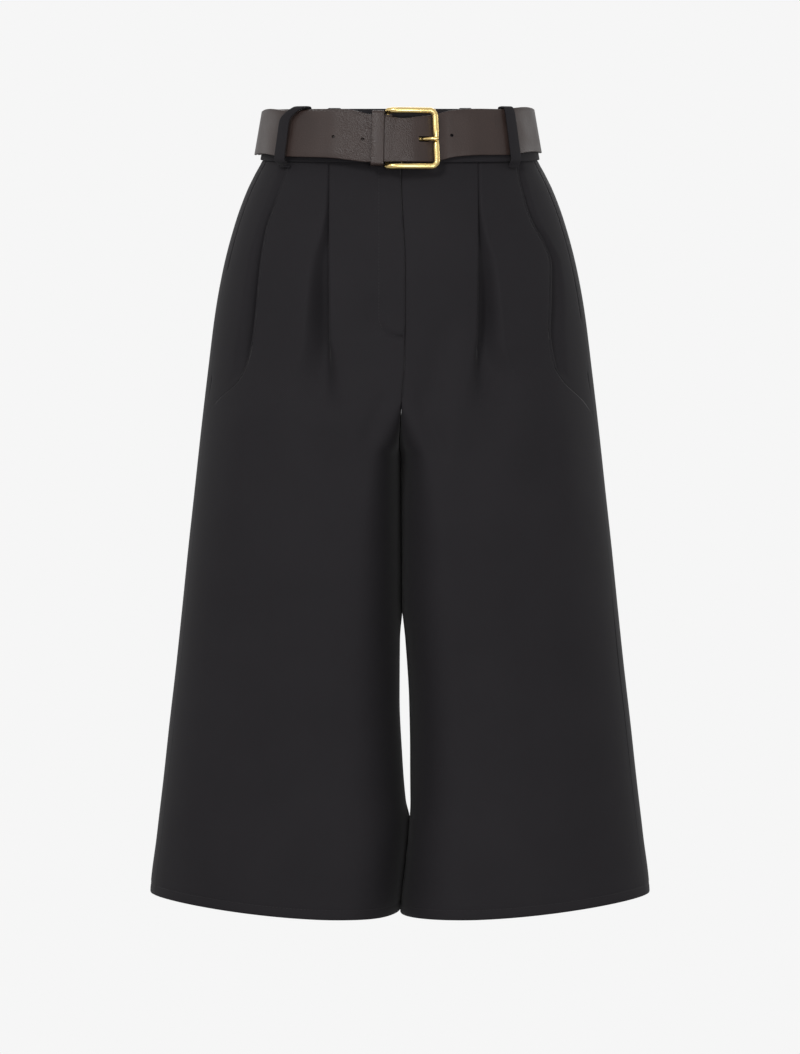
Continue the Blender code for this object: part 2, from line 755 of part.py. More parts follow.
# One row per point of a long bar, from the right bar's corner to the pivot bar: its x, how far it
# stands off the band, how far below the frame's edge line it lies, and its radius.
BarPoint = namedtuple("BarPoint", "x out inset radius")
LONG_BAR = (
    BarPoint(18.0, 10.6, 0.0, BAR_RADIUS),
    BarPoint(8.0, 11.6, 0.0, BAR_RADIUS),
    BarPoint(-2.0, 12.0, 0.0, BAR_RADIUS),
    BarPoint(-7.0, 11.4, 0.0, BAR_RADIUS),
    BarPoint(PIVOT_X + 0.4, 9.4, 0.2, 2.5),
    BarPoint(PIVOT_X, 7.9, 1.4, 2.1),
    BarPoint(PIVOT_X, PIVOT_OUT, 3.2, PIVOT_RADIUS),
    BarPoint(PIVOT_X, PIVOT_OUT, 15.2, PIVOT_RADIUS),
)


def half_frame(sign):
    """Points (x, out, z, radius) of the upper or lower half, from the right bar to the pivot bar."""
    points = [(RIGHT_BAR_X, RIGHT_BAR_OUT, sign * 6.0, BAR_RADIUS)]
    for part in np.linspace(0, np.pi / 2, 6):
        x = RIGHT_BAR_X - FRAME_CORNER * (1 - np.cos(part))
        z = FRAME_HALF - FRAME_CORNER * (1 - np.sin(part))
        points.append((x, RIGHT_BAR_OUT, sign * z, BAR_RADIUS))
    for row in LONG_BAR:
        points.append((row.x, row.out, sign * (FRAME_HALF - row.inset), row.radius))
    return points


def build_buckle(material):
    """A closed frame: the right bar, two long bars that dip back at the left, and the thin pivot bar."""
    seat = (RIGHT_BAR_X, RIGHT_BAR_OUT - 2 * SEAT_PINCH, 0.0, BAR_RADIUS - SEAT_PINCH)
    pivot = (PIVOT_X, PIVOT_OUT, 0.0, PIVOT_RADIUS)
    points = [seat] + half_frame(1) + [pivot] + half_frame(-1)[::-1]
    path = [band_place(x, out, BUCKLE_LEVEL + z) for x, out, z, _ in points]
    radii = [radius for _, _, _, radius in points]
    return add_object("buckle_frame", loft(tube_rings(path, radii, 8), closed_path=True), material)


# The prong's middle line, from under the pivot bar, through the hole, to its tip over the right bar.
PRONG_LINE = (
    Stand(PIVOT_X, PIVOT_OUT - PIVOT_RADIUS - PRONG_RADIUS - 0.4),
    Stand(-4.0, 5.6),
    Stand(4.0, 6.8),
    Stand(12.0, 7.0),
    Stand(18.0, 7.4),
    Stand(22.0, 9.7),
    Stand(26.0, 12.5),
    Stand(29.5, 13.9),
    Stand(RIGHT_BAR_X + 1.0, 13.9),
)
PRONG_TIP = 0.7


def build_prong(material):
    """The prong: from under the pivot bar, through the strap's hole, to its tip on the right bar."""
    points = [band_place(row.x, row.out, PRONG_LEVEL) for row in PRONG_LINE]
    up = np.array([0.0, 0.0, 1.0])
    rings = []
    for index, point in enumerate(points):
        along = points[min(index + 1, len(points) - 1)] - points[max(index - 1, 0)]
        side = np.cross(along / np.linalg.norm(along), up)
        radius = PRONG_RADIUS if index < len(points) - 1 else PRONG_TIP * PRONG_RADIUS
        turns = np.linspace(0, 2 * np.pi, 8, endpoint=False)
        rings.append([point + radius * (np.cos(turn) * up + np.sin(turn) * side) for turn in turns])
    return add_object("buckle_prong", loft(rings), material)


# One row per belt loop: the angles of its top and its foot, how far it stands off the band, and
# the height over which it goes from one angle to the other.
BeltLoop = namedtuple("BeltLoop", "name top foot reach bend")
BELT_LOOPS = (
    BeltLoop("loop_front_right", angle_at(-86), angle_at(-95.5), 10.2, 16.0),
    BeltLoop("loop_front_left", angle_at(94.5), angle_at(94.5), 6.0, 45.0),
    BeltLoop("loop_back_right", np.radians(-142), np.radians(-142), 8.2, 45.0),
    BeltLoop("loop_back_left", np.radians(142), np.radians(142), 5.4, 45.0),
    BeltLoop("loop_back_centre", np.radians(180), np.radians(180), 5.4, 45.0),
)
LOOP_WIDE = 10.0
LOOP_THICK = 1.6


def build_loop(row, material):
    """A strip of cloth from inside the band, over its top edge and the belt, to a foot under the band."""
    inside = -BAND_CLOTH - 0.6 - LOOP_THICK / 2
    path = (
        (BAND_HALF - 7, inside),
        (BAND_HALF - 1, inside),
        (BAND_HALF + 0.9, inside + 0.7),
        (BAND_HALF + 1.5, -BAND_CLOTH / 2),
        (BAND_HALF + 1.7, row.reach * 0.45),
        (BAND_HALF + 0.8, row.reach * 0.84),
        (BAND_HALF - 3.0, row.reach),
        (BAND_HALF - 12, row.reach + 0.3),
        (-6, row.reach + 0.3),
        (-BAND_HALF + 3.0, row.reach),
        (-BAND_HALF - 0.6, row.reach * 0.66),
        (-BAND_HALF - 2.6, 1.9),
        (-BAND_HALF - 4.6, 0.6),
    )
    rings = []
    for index, (z, out) in enumerate(path):
        before = path[max(index - 1, 0)]
        after = path[min(index + 1, len(path) - 1)]
        along = np.array([after[0] - before[0], after[1] - before[1]], float)
        along /= np.linalg.norm(along)
        across = np.array([along[1], -along[0]])
        part = ease((BAND_HALF - z) / row.bend) if index > 3 else 0.0
        angle = row.top + (row.foot - row.top) * part
        radius = np.linalg.norm(ring_point(angle, 0, BAND_FACE)[:2])
        half_turn = LOOP_WIDE / 2 / radius
        ring = []
        for turn_add, thick_add in ((-1, -1), (1, -1), (1, 1), (-1, 1)):
            height = z + across[0] * thick_add * LOOP_THICK / 2
            reach = BAND_FACE + out + across[1] * thick_add * LOOP_THICK / 2
            ring.append(ring_point(angle + turn_add * half_turn, height, reach))
        rings.append(ring)
    return add_object(row.name, loft(rings), material)


def main():
    for old in list(bpy.data.objects):
        bpy.data.objects.remove(old, do_unlink=True)
    cloth = colour_material("cloth", 0.018, 0.017, 0.019, 0.85)
    leather = colour_material("leather", 0.055, 0.040, 0.036, 0.45)
    metal = colour_material("gold_metal", 0.80, 0.52, 0.16, 0.25, 1.0)
    front_rows = row_heights(((PANEL_TOP, -60, 3), (-60, -220, 9), (-220, -300, 10), (-300, HEM, 8)))
    back_rows = row_heights(((PANEL_TOP, -60, 3), (-60, -225, 5), (-225, -300, 10), (-300, HEM, 7)))
    hip_rows = row_heights(((PANEL_TOP, -60, 3), (-60, -220, 6), (-220, POCKET_END + 2, 3)))
    for side_name in SIDES:
        cloth_panel("front_" + side_name, side_name, front_rows, front_row, cloth)
        cloth_panel("back_" + side_name, side_name, back_rows, back_row, cloth)
        cloth_panel("hip_" + side_name, side_name, hip_rows, hip_row, cloth)
    build_waistband(cloth)
    build_strap(leather)
    build_keeper(leather)
    build_buckle(metal)
    build_prong(metal)
    for row in BELT_LOOPS:
        build_loop(row, cloth)


main()
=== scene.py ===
# %% [markdown]
# # Black capri pants with their own leather belt
#
# The garment is a pair of wide, calf-length capri pants in black suiting, held in worn shape with
# nobody in them. Two pleats open at the front, slanted pockets gape a little at the hips, and a
# brown leather belt with a brass buckle sits on the waistband.
#
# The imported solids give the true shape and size. This script dresses them: each cloth solid is
# replaced by a finer cloth of the same form, the belt gets its grain and its rounded edges, and
# camera, light and floor are set for the picture.

# %% Load the frame
from collections import namedtuple

import bmesh
import bpy
import numpy as np
from mathutils import Matrix, Vector


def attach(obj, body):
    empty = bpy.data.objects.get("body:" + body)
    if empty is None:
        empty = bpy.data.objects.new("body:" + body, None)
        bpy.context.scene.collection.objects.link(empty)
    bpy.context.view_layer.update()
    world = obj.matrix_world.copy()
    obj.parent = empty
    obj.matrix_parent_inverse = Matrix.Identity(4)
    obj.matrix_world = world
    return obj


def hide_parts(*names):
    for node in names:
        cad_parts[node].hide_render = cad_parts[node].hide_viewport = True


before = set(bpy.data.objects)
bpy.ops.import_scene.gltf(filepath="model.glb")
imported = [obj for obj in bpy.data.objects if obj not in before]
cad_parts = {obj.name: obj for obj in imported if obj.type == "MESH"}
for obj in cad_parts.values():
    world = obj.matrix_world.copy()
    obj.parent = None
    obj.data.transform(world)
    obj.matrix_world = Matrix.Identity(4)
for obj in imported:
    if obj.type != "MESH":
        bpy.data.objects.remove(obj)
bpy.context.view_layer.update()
print("CAD nodes:", sorted(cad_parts))

# %% [markdown]
# ## Camera, floor and light
#
# The garment is seen straight from the front with a long lens, so its sides hardly converge. One
# pixel of the 800 x 1054 picture is 0.9 mm at the garment. The camera comes first, so that every
# later piece can be judged in its frame.

# %% Camera
MM = 0.001
PICTURE_TALL = 1054
PIXEL = 0.9 * MM
CAMERA_AWAY = 4.0
CAMERA_HEIGHT = -0.353
SENSOR = 36.0


def add_camera():
    """A camera straight in front whose picture is 0.9 mm to the pixel at the origin's depth."""
    data = bpy.data.cameras.new("camera")
    data.sensor_width = SENSOR
    data.lens = SENSOR * CAMERA_AWAY / (PICTURE_TALL * PIXEL)
    camera = bpy.data.objects.new("camera", data)
    camera.location = (0.0, -CAMERA_AWAY, CAMERA_HEIGHT)
    camera.rotation_euler = (np.pi / 2, 0.0, 0.0)
    bpy.context.scene.collection.objects.link(camera)
    bpy.context.scene.camera = camera
    return camera


camera = add_camera()
print("lens", round(camera.data.lens, 1), "mm")

# %% [markdown]
# Colours are written as sRGB hex, as a colour picker shows them, and turned to linear light once.
# A node tree is easier to read when every node is added by one small function that also sets its
# sockets and makes its links.


# %% Colour and node helpers
def linear(hex_colour):
    """Linear RGBA of an sRGB hex colour."""
    values = [int(hex_colour[start : start + 2], 16) / 255 for start in (1, 3, 5)]
    return [v / 12.92 if v <= 0.04045 else ((v + 0.055) / 1.055) ** 2.4 for v in values] + [1.0]


def add_node(tree, kind, settings=None, **inputs):
    """Adds a node; settings are its properties, inputs are values or (node, output) links."""
    node = tree.nodes.new(kind)
    for name, value in (settings or {}).items():
        setattr(node, name, value)
    for name, value in inputs.items():
        key = int(name[1:]) if name[0] == "_" else name.replace("_", " ")
        if isinstance(value, tuple) and hasattr(value[0], "outputs"):
            tree.links.new(value[0].outputs[value[1]], node.inputs[key])
        else:
            node.inputs[key].default_value = value
    return node


def new_material(name):
    """An empty material: its tree, its Principled shader and itself."""
    material = bpy.data.materials.new(name)
    material.use_nodes = True
    shader = material.node_tree.nodes["Principled BSDF"]
    return material, material.node_tree, shader


# %% [markdown]
# The studio is plain: a pale floor well below the hem, a pale world of the same tone, and large
# soft lamps. The world looks pale to the camera but lights the black cloth only a little, so that
# the lamps can model its folds.

# %% Floor, world and lamps
PALE = "#f6f6f6"
FLOOR_HEIGHT = -0.86
FLOOR_HALF = 30.0
FLOOR_WHITE = "#c8c8c8"
AMBIENT = 0.4
MIRRORED = 0.75


def add_floor():
    """A wide pale floor: it gives light back to the cloth and shows to the camera as the world's tone."""
    material, tree, shader = new_material("painted_studio_floor")
    path = add_node(tree, "ShaderNodeLightPath")
    paint = add_node(
        tree,
        "ShaderNodeMix",
        {"data_type": "RGBA"},
        _0=(path, "Is Camera Ray"),
        _6=linear(FLOOR_WHITE),
        _7=linear("#000000"),
    )
    tree.links.new(paint.outputs[2], shader.inputs["Base Color"])
    tree.links.new(path.outputs["Is Camera Ray"], shader.inputs["Emission Strength"])
    shader.inputs["Emission Color"].default_value = linear(PALE)
    shader.inputs["Roughness"].default_value = 1.0
    shader.inputs["Specular IOR Level"].default_value = 0.0
    mesh = bmesh.new()
    bmesh.ops.create_grid(mesh, x_segments=8, y_segments=8, size=FLOOR_HALF)
    bmesh.ops.translate(mesh, verts=mesh.verts, vec=(0, 0, FLOOR_HEIGHT))
    data = bpy.data.meshes.new("floor")
    mesh.to_mesh(data)
    mesh.free()
    data.materials.append(material)
    floor = bpy.data.objects.new("floor", data)
    bpy.context.scene.collection.objects.link(floor)


def set_world():
    """Pale to the camera, a little dimmer in reflections, and dimmer still as a light."""
    world = bpy.data.worlds.new("studio")
    world.use_nodes = True
    tree = world.node_tree
    background = tree.nodes["Background"]
    background.inputs["Color"].default_value = linear(PALE)
    path = add_node(tree, "ShaderNodeLightPath")
    mirrored = add_node(tree, "ShaderNodeMapRange", _0=(path, "Is Glossy Ray"), _3=AMBIENT, _4=MIRRORED)
    strength = add_node(tree, "ShaderNodeMapRange", _0=(path, "Is Camera Ray"), _3=(mirrored, 0), _4=1.0)
    tree.links.new(strength.outputs[0], background.inputs["Strength"])
    bpy.context.scene.world = world


Lamp = namedtuple("Lamp", "name place size power")
LAMPS = (
    Lamp("lamp_key_high", (-1.3, -3.0, 1.7), 0.9, 47.0),
    Lamp("lamp_low_fill", (0.6, -3.4, -0.35), 1.2, 39.0),
    Lamp("lamp_left_rim", (-2.2, 1.1, 0.2), 1.1, 5.5),
    Lamp("lamp_right_rim", (2.3, 0.9, 0.2), 1.1, 9.0),
    Lamp("lamp_left_side", (-2.3, -1.5, 0.3), 0.9, 2.0),
    Lamp("lamp_behind", (0.3, 2.8, 1.6), 1.8, 24.0),
)
LAMP_AIM = Vector((0.0, 0.0, -0.3))


def add_lamps():
    """Square soft lamps, all turned to the middle of the garment."""
    for row in LAMPS:
        data = bpy.data.lights.new(row.name, "AREA")
        data.shape = "SQUARE"
        data.size = row.size
        data.energy = row.power
        lamp = bpy.data.objects.new(row.name, data)
        lamp.location = row.place
        lamp.rotation_euler = (LAMP_AIM - Vector(row.place)).to_track_quat("-Z", "Y").to_euler()
        bpy.context.scene.collection.objects.link(lamp)


add_floor()
set_world()
add_lamps()
bpy.context.scene.view_settings.view_transform = "Standard"
print("floor at", FLOOR_HEIGHT, "m;", len(LAMPS), "lamps")

# %% [markdown]
# ## The shape of the garment
#
# The cloth is described by plan sections: at each height a half of the garment is a smooth curve
# from its front centre round the side to its back centre. The sizes are the solids' own, in
# millimetres, so the finer cloth lies exactly where the solids are. u is the distance outward from
# the centre plane, so a point of the wearer's right side stands at x = -u.

# %% Sizes of the cloth
CLOTH = 1.2
BAND_CLOTH = 2.4
STRAP_THICK = 2.5
STRAP_WIDE = 39.2
BAND_HALF = 22.5
PANEL_TOP = -22.8
FRONT_NOTCH = -239.0
BACK_NOTCH = -249.0
CROTCH = -287.0
CROTCH_DEPTH = 12.0
HEM = -698.5
HIP_END = -253.0
TILT = 0.096
TILT_CHANGE = 0.013
TILT_END = -210.0
TILT_FADE = 180.0
HEM_LIFT = 17.5
LIFT_FROM = 57.0
LIFT_REACH = 167.0
LIFT_POWER = 1.6
LIFT_MOST = 1.1
LIFT_TOP = -380.0
LIFT_FADE = 300.0
FRONT_ROUND = 2.3
BACK_ROUND = 2.25
INNER_ROUND = 2.5
SIDES = {"right": -1, "left": 1}

Section = namedtuple("Section", "z half_width front back")
SECTIONS = (
    Section(24, 115.4, 83, 84),
    Section(-22, 123.0, 88.4, 90.5),
    Section(-36, 130.0, 91, 94),
    Section(-50, 136.8, 94, 100),
    Section(-77, 146.8, 98, 109),
    Section(-117, 157.6, 103, 118),
    Section(-158, 165.2, 107, 124),
    Section(-212, 172.0, 111, 127),
    Section(-266, 178.3, 113, 125),
    Section(-320, 184.1, 113, 119),
    Section(-374, 190.0, 111, 113),
    Section(-428, 195.4, 108, 108),
    Section(-482, 200.8, 105, 105),
    Section(-536, 206.6, 103, 103),
    Section(-590, 212.0, 101, 101),
    Section(-644, 217.9, 99.5, 99.5),
    Section(-703, 224.0, 98, 98),
)
Crest = namedtuple("Crest", "z front back")
CRESTS = (
    Crest(24, 0, 0),
    Crest(-193, 0, 0),
    Crest(-239, 6, 4),
    Crest(-265, 17, 14),
    Crest(-303, 31, 31),
    Crest(-363, 41, 41),
    Crest(-453, 48, 48),
    Crest(-703, 57, 57),
)
Inner = namedtuple("Inner", "z right_leg left_leg lean")
INNERS = (
    Inner(-33, 0.9, 0.9, 0.0),
    Inner(-120, 4.6, 4.6, 0.0),
    Inner(-209, 4.0, 4.0, 0.0),
    Inner(-238, 1.8, 1.8, 0.4),
    Inner(-250, 1.8, 1.8, 2.6),
    Inner(-293, 1.8, 1.8, 2.6),
    Inner(-418, 1.8, 1.8, 2.6),
    Inner(-455, 0.0, 4.4, 0.8),
    Inner(-508, 0.0, 7.9, 0.0),
    Inner(-560, 2.4, 8.8, 0.0),
    Inner(-600, 5.3, 8.8, 0.8),
    Inner(-618, 8.0, 8.2, 2.6),
    Inner(-658, 4.2, 4.4, 2.6),
    Inner(-703, 0.0, 0.0, 2.6),
)
LEAN_LENGTH = 40.0
LEAN_REACH = 26.0
INNER_CLEAR = 0.85
INNER_CLEAR_RISE = 8.0


# %% [markdown]
# A table holds sizes at a few heights only. Between its rows a smooth curve is read that never
# overshoots them, so that a leg doesn't bulge where two rows are alike.


# %% Reading the tables
def ease(value):
    """0 to 1 with a soft start and a soft end."""
    value = np.clip(value, 0.0, 1.0)
    return value * value * (3.0 - 2.0 * value)


def read_table(table, column, z):
    """A column of a table at z, its rows' first value, along a curve that never overshoots them."""
    rows = sorted(table)
    heights = np.array([row[0] for row in rows], float)
    values = np.array([getattr(row, column) for row in rows], float)
    steps = np.diff(heights)
    slopes = np.diff(values) / steps
    tangents = np.zeros(len(rows))
    for index in range(1, len(rows) - 1):
        before = slopes[index - 1]
        after = slopes[index]
        if before * after > 0:
            tangents[index] = 2.0 * before * after / (before + after)
    z = float(np.clip(z, heights[0], heights[-1]))
    index = int(np.clip(np.searchsorted(heights, z) - 1, 0, len(steps) - 1))
    part = (z - heights[index]) / steps[index]
    start = (1 + 2 * part) * (1 - part) ** 2 * values[index]
    end = part**2 * (3 - 2 * part) * values[index + 1]
    leave = part * (1 - part) ** 2 * steps[index] * tangents[index]
    arrive = part**2 * (part - 1) * steps[index] * tangents[index + 1]
    return start + end + leave + arrive


# %% [markdown]
# A plan section is put together from quarters of rounded rectangles. Above the crotch each half
# ends at the centre seam. Below it the curve turns back at a crest, in front and behind, and runs
# in to the leg's own inner seam.

# %% Plan sections
FLAT_BELOW = 0.01
SAME_PLACE = 1e-6


def quarter(centre, across, deep, power, count=90):
    """A quarter of a rounded rectangle from its side point (across, 0) to its end point (0, deep)."""
    if abs(deep) < FLAT_BELOW:
        along = np.linspace(1.0, 0.0, count)
        return np.stack([centre[0] + across * along, np.full(count, centre[1])], axis=1)
    angle = np.linspace(0.0, np.pi / 2, count)
    flat = np.arctan2(np.sin(angle) * abs(deep), np.cos(angle) * abs(across))
    reach = (np.abs(np.cos(flat) / across) ** power + np.abs(np.sin(flat) / deep) ** power) ** (-1 / power)
    across_part = reach * np.cos(flat) * np.sign(across)
    deep_part = reach * np.sin(flat) * np.sign(deep)
    return np.stack([centre[0] + across_part, centre[1] + deep_part], axis=1)


def notch_depth(z, notch, depth):
    """Where the crotch seam runs at height z: on the cloth above the notch, at the crotch point below."""
    drop = np.clip((notch - z) / (notch - CROTCH), 0.0, 1.0)
    return CROTCH_DEPTH + (depth - CROTCH_DEPTH) * np.sqrt(1.0 - drop * drop)


def trim(points, across):
    """The part of a curve further out than this, starting exactly there; its u grows along it."""
    first = int(np.argmax(points[:, 0] > across))
    deep = np.interp(across, points[first - 1 : first + 1, 0], points[first - 1 : first + 1, 1])
    return np.concatenate([[(across, deep)], points[first:]])


def half_section(side_name, z):
    """(u, y) points of one half at height z, from its front inner end round its side to the back."""
    side = SIDES[side_name]
    wide = read_table(SECTIONS, "half_width", z)
    front = -read_table(SECTIONS, "front", z)
    back = read_table(SECTIONS, "back", z)
    inner = side * read_table(INNERS, side_name + "_leg", z)
    inner += INNER_CLEAR * ease((FRONT_NOTCH - z) / INNER_CLEAR_RISE)
    front_crest = read_table(CRESTS, "front", z)
    back_crest = read_table(CRESTS, "back", z)
    front_outer = quarter((front_crest, 0), wide - front_crest, front, FRONT_ROUND)[::-1]
    back_outer = quarter((back_crest, 0), wide - back_crest, back, BACK_ROUND)
    if z < FRONT_NOTCH:
        end = notch_depth(z, FRONT_NOTCH, front)
        front_inner = quarter((front_crest, end), inner - front_crest, front - end, INNER_ROUND)
    else:
        front_inner = front_outer[:0:-1] * (-1, 1) + (2 * front_crest, 0)
    if z < BACK_NOTCH:
        end = notch_depth(z, BACK_NOTCH, back)
        back_inner = quarter((back_crest, end), inner - back_crest, back - end, INNER_ROUND)[::-1]
    else:
        back_inner = back_outer[-2::-1] * (-1, 1) + (2 * back_crest, 0)
    if z >= FRONT_NOTCH:
        front_outer = trim(np.concatenate([front_inner, front_outer]), inner)
        front_inner = front_outer[:0]
    if z >= BACK_NOTCH:
        back_outer = trim(np.concatenate([back_outer, back_inner])[::-1], inner)[::-1]
        back_inner = back_outer[:0]
    points = np.concatenate([front_inner, front_outer, back_outer, back_inner])
    moved = np.linalg.norm(np.diff(points, axis=0), axis=1) > SAME_PLACE
    return points[np.concatenate([[True], moved])]


# %% A curve read by its length
SMOOTH_READ = 1.5
SPREAD_STEPS = 240
CROWDING = 0.225


class Curve:
    """A plan curve that can be read at any length along it."""

    def __init__(self, points):
        self.points = points
        steps = np.linalg.norm(np.diff(points, axis=0), axis=1)
        self.lengths = np.concatenate([[0.0], np.cumsum(steps)])
        self.total = self.lengths[-1]

    def at(self, lengths):
        """The (u, y) points at these lengths."""
        lengths = np.asarray(lengths, float)
        across = np.interp(lengths, self.lengths, self.points[:, 0])
        deep = np.interp(lengths, self.lengths, self.points[:, 1])
        return np.stack([across, deep], axis=-1)

    def outward(self, lengths):
        """The directions that point out of the garment at these lengths."""
        ahead = self.at(np.minimum(np.asarray(lengths) + SMOOTH_READ, self.total))
        behind = self.at(np.maximum(np.asarray(lengths) - SMOOTH_READ, 0.0))
        along = ahead - behind
        along /= np.linalg.norm(along, axis=-1, keepdims=True)
        return np.stack([along[..., 1], -along[..., 0]], axis=-1)

    def front_length(self, across):
        """The length at which the front of the curve reaches this far out."""
        widest = int(np.argmax(self.points[:, 0]))
        crest = int(np.argmin(self.points[:, 1]))
        return float(np.interp(across, self.points[crest:widest, 0], self.lengths[crest:widest]))

    def back_length(self, across):
        """The length at which the back of the curve comes in to this far out."""
        widest = int(np.argmax(self.points[:, 0]))
        crest = int(np.argmax(self.points[:, 1]))
        stretch = slice(crest, widest, -1)
        return float(np.interp(across, self.points[stretch, 0], self.lengths[stretch]))

    def spread(self, start, end, count):
        """Lengths from start to end, closer together where the curve turns."""
        fine = np.linspace(start, end, SPREAD_STEPS)
        along = np.diff(self.at(fine), axis=0)
        heading = np.unwrap(np.arctan2(along[:, 1], along[:, 0]))
        turning = np.abs(np.gradient(heading))
        share = 1.0 / len(turning) + CROWDING * turning
        reached = np.concatenate([[0.0], np.cumsum(share)])
        return np.interp(np.linspace(0.0, reached[-1], count), reached, fine)


def waist_tilt(y, z):
    """The waist sits lower in front: a small tilt that fades out down the hips."""
    slope = TILT - TILT_CHANGE * np.clip(z / BAND_HALF, -1.0, 1.0)
    return slope * y * ease((z - TILT_END) / TILT_FADE)


def hem_lift(u, z):
    """The flared outer side of each leg lifts the hem."""
    outward = np.clip((u - LIFT_FROM) / LIFT_REACH, 0.0, LIFT_MOST)
    return HEM_LIFT * outward**LIFT_POWER * ease((LIFT_TOP - z) / LIFT_FADE)


def place(side_name, points, z):
    """World points, in mm, of plan points (u, y) at nominal height z, with tilt, hem lift and lean."""
    u = points[:, 0]
    y = points[:, 1]
    seam = 0.5 * (read_table(INNERS, "right_leg", z) + read_table(INNERS, "left_leg", z))
    lean = read_table(INNERS, "lean", z) * np.sin(y / LEAN_LENGTH)
    x = SIDES[side_name] * u
    x = x + lean * np.exp(-(((x - seam) / LEAN_REACH) ** 2))
    return np.stack([x, y, z + waist_tilt(y, z) + hem_lift(u, z)], axis=1)


for height in (-30, -150, -300, -690):
    round_all = 2 * Curve(half_section("left", height)).total
    print("height", height, "mm: about", round(round_all), "mm of cloth round both halves")

# %% [markdown]
# ## Pleats, pocket edges and soft creases
#
# Each front has one pleat. Near the waist its cloth is turned back flat under itself, in a Z; lower
# down the turns open and the pleat runs out into the leg. A pleat is written as headings: how far
# the cloth has turned from its way at each step. Adding the steps up gives the fold's own path.

# %% Pleats and pockets
Pleat = namedtuple("Pleat", "z turn_degrees turn_length layer rise gap")
PLEATS = (
    Pleat(-20, 180, 4.2, 20.0, 4.0, -1.5),
    Pleat(-60, 179, 4.2, 16.0, 5.0, -1.2),
    Pleat(-88, 174, 4.3, 13.0, 9.0, 0.4),
    Pleat(-113, 164, 4.6, 11.0, 13, 4.6),
    Pleat(-133, 150, 5.4, 10.0, 14, 6.2),
    Pleat(-160, 126, 6.2, 8.0, 16, 6.4),
    Pleat(-185, 96, 6.6, 5.5, 20, 4.6),
    Pleat(-205, 62, 7.0, 4.0, 24, 2.0),
    Pleat(-232, 24, 8.0, 4.0, 36, 0.0),
    Pleat(-262, 0, 9.0, 6.0, 46, 0.0),
    Pleat(-703, 0, 12.0, 9.0, 50, 0.0),
)
PLEAT_OUT = {"right": 62.3, "left": 68.6}
PLEAT_SPREAD = 0.08

Pocket = namedtuple("Pocket", "z right left right_deep left_deep right_rise left_rise")
POCKETS = (
    Pocket(-22, 101.0, 104.5, 1.7, 1.7, 8, 8),
    Pocket(-59, 111.0, 111.5, 4.4, 5.6, 8, 7),
    Pocket(-80, 118.0, 119.0, 7.0, 7.0, 9, 7),
    Pocket(-97, 121.3, 128.5, 9.0, 6.0, 11, 8),
    Pocket(-118, 124.2, 134.4, 11.0, 4.6, 13, 14),
    Pocket(-156, 127.4, 133.6, 13.5, 5.8, 15, 19),
    Pocket(-179, 129.6, 132.6, 13.5, 5.2, 17, 19),
    Pocket(-200, 133.2, 135.2, 9.5, 3.8, 17, 17),
    Pocket(-213, 136.8, 138.1, 3.6, 2.6, 15, 15),
    Pocket(-225, 144.0, 145.0, 0.0, 0.0, 12, 12),
    Pocket(-243, 161.0, 161.0, 0.0, 0.0, 12, 12),
)
POCKET_LAP = 13.0
POCKET_CLOSED = -226.0
POCKET_JOIN = -235.0
POCKET_JOIN_FADE = 20.0
SIDE_SEAM = 0.972
Border = namedtuple("Border", "least share")
FRONT_BORDER = Border(14.0, 0.85)
BACK_BORDER = Border(22.0, 0.75)


def side_seam_at(z):
    """How far out the side seam runs at height z."""
    return read_table(SECTIONS, "half_width", z) * SIDE_SEAM


def style_line_at(side_name, z):
    """How far out the pocket's edge runs at height z; below the pocket it runs on to the side seam."""
    edge = read_table(POCKETS, side_name, z)
    joined = ease((POCKET_JOIN - z) / POCKET_JOIN_FADE)
    return edge + joined * (side_seam_at(z) - edge)


def pleat_row(z, turn_columns, layer_columns, rise_columns, finer=8):
    """(length, depth) of the pleat's folded stretch at height z, with length 0 at its folded edge."""
    turn = np.radians(read_table(PLEATS, "turn_degrees", z))
    turn_length = read_table(PLEATS, "turn_length", z)
    layer = read_table(PLEATS, "layer", z)
    rise = read_table(PLEATS, "rise", z)
    turns = finer * turn_columns
    layers = finer * layer_columns
    headings = np.concatenate(
        [np.linspace(0.0, turn, turns + 1), np.full(layers, turn), np.linspace(turn, 0.0, turns + 1)[1:]]
    )
    steps = np.repeat([turn_length / turns, layer / layers, turn_length / turns], [turns, layers, turns])
    middles = 0.5 * (headings[1:] + headings[:-1])
    along = np.concatenate([[0.0], np.cumsum(steps * np.cos(middles))])[::finer]
    deep = np.concatenate([[0.0], np.cumsum(steps * np.sin(middles))])[::finer]
    edge = along[: turn_columns + layer_columns + 1].max()
    # The cloth stays deep under the fold, and for a gap past its folded edge, and then rises.
    hidden = max(0.0, edge - along[-1] + read_table(PLEATS, "gap", z))
    rise_along = along[-1] + np.linspace(0.0, hidden + rise, rise_columns + 1)[1:]
    rise_deep = deep[-1] * (1.0 - ease((rise_along - along[-1] - hidden) / rise))
    return np.concatenate([along, rise_along]) - edge, np.concatenate([deep, rise_deep])
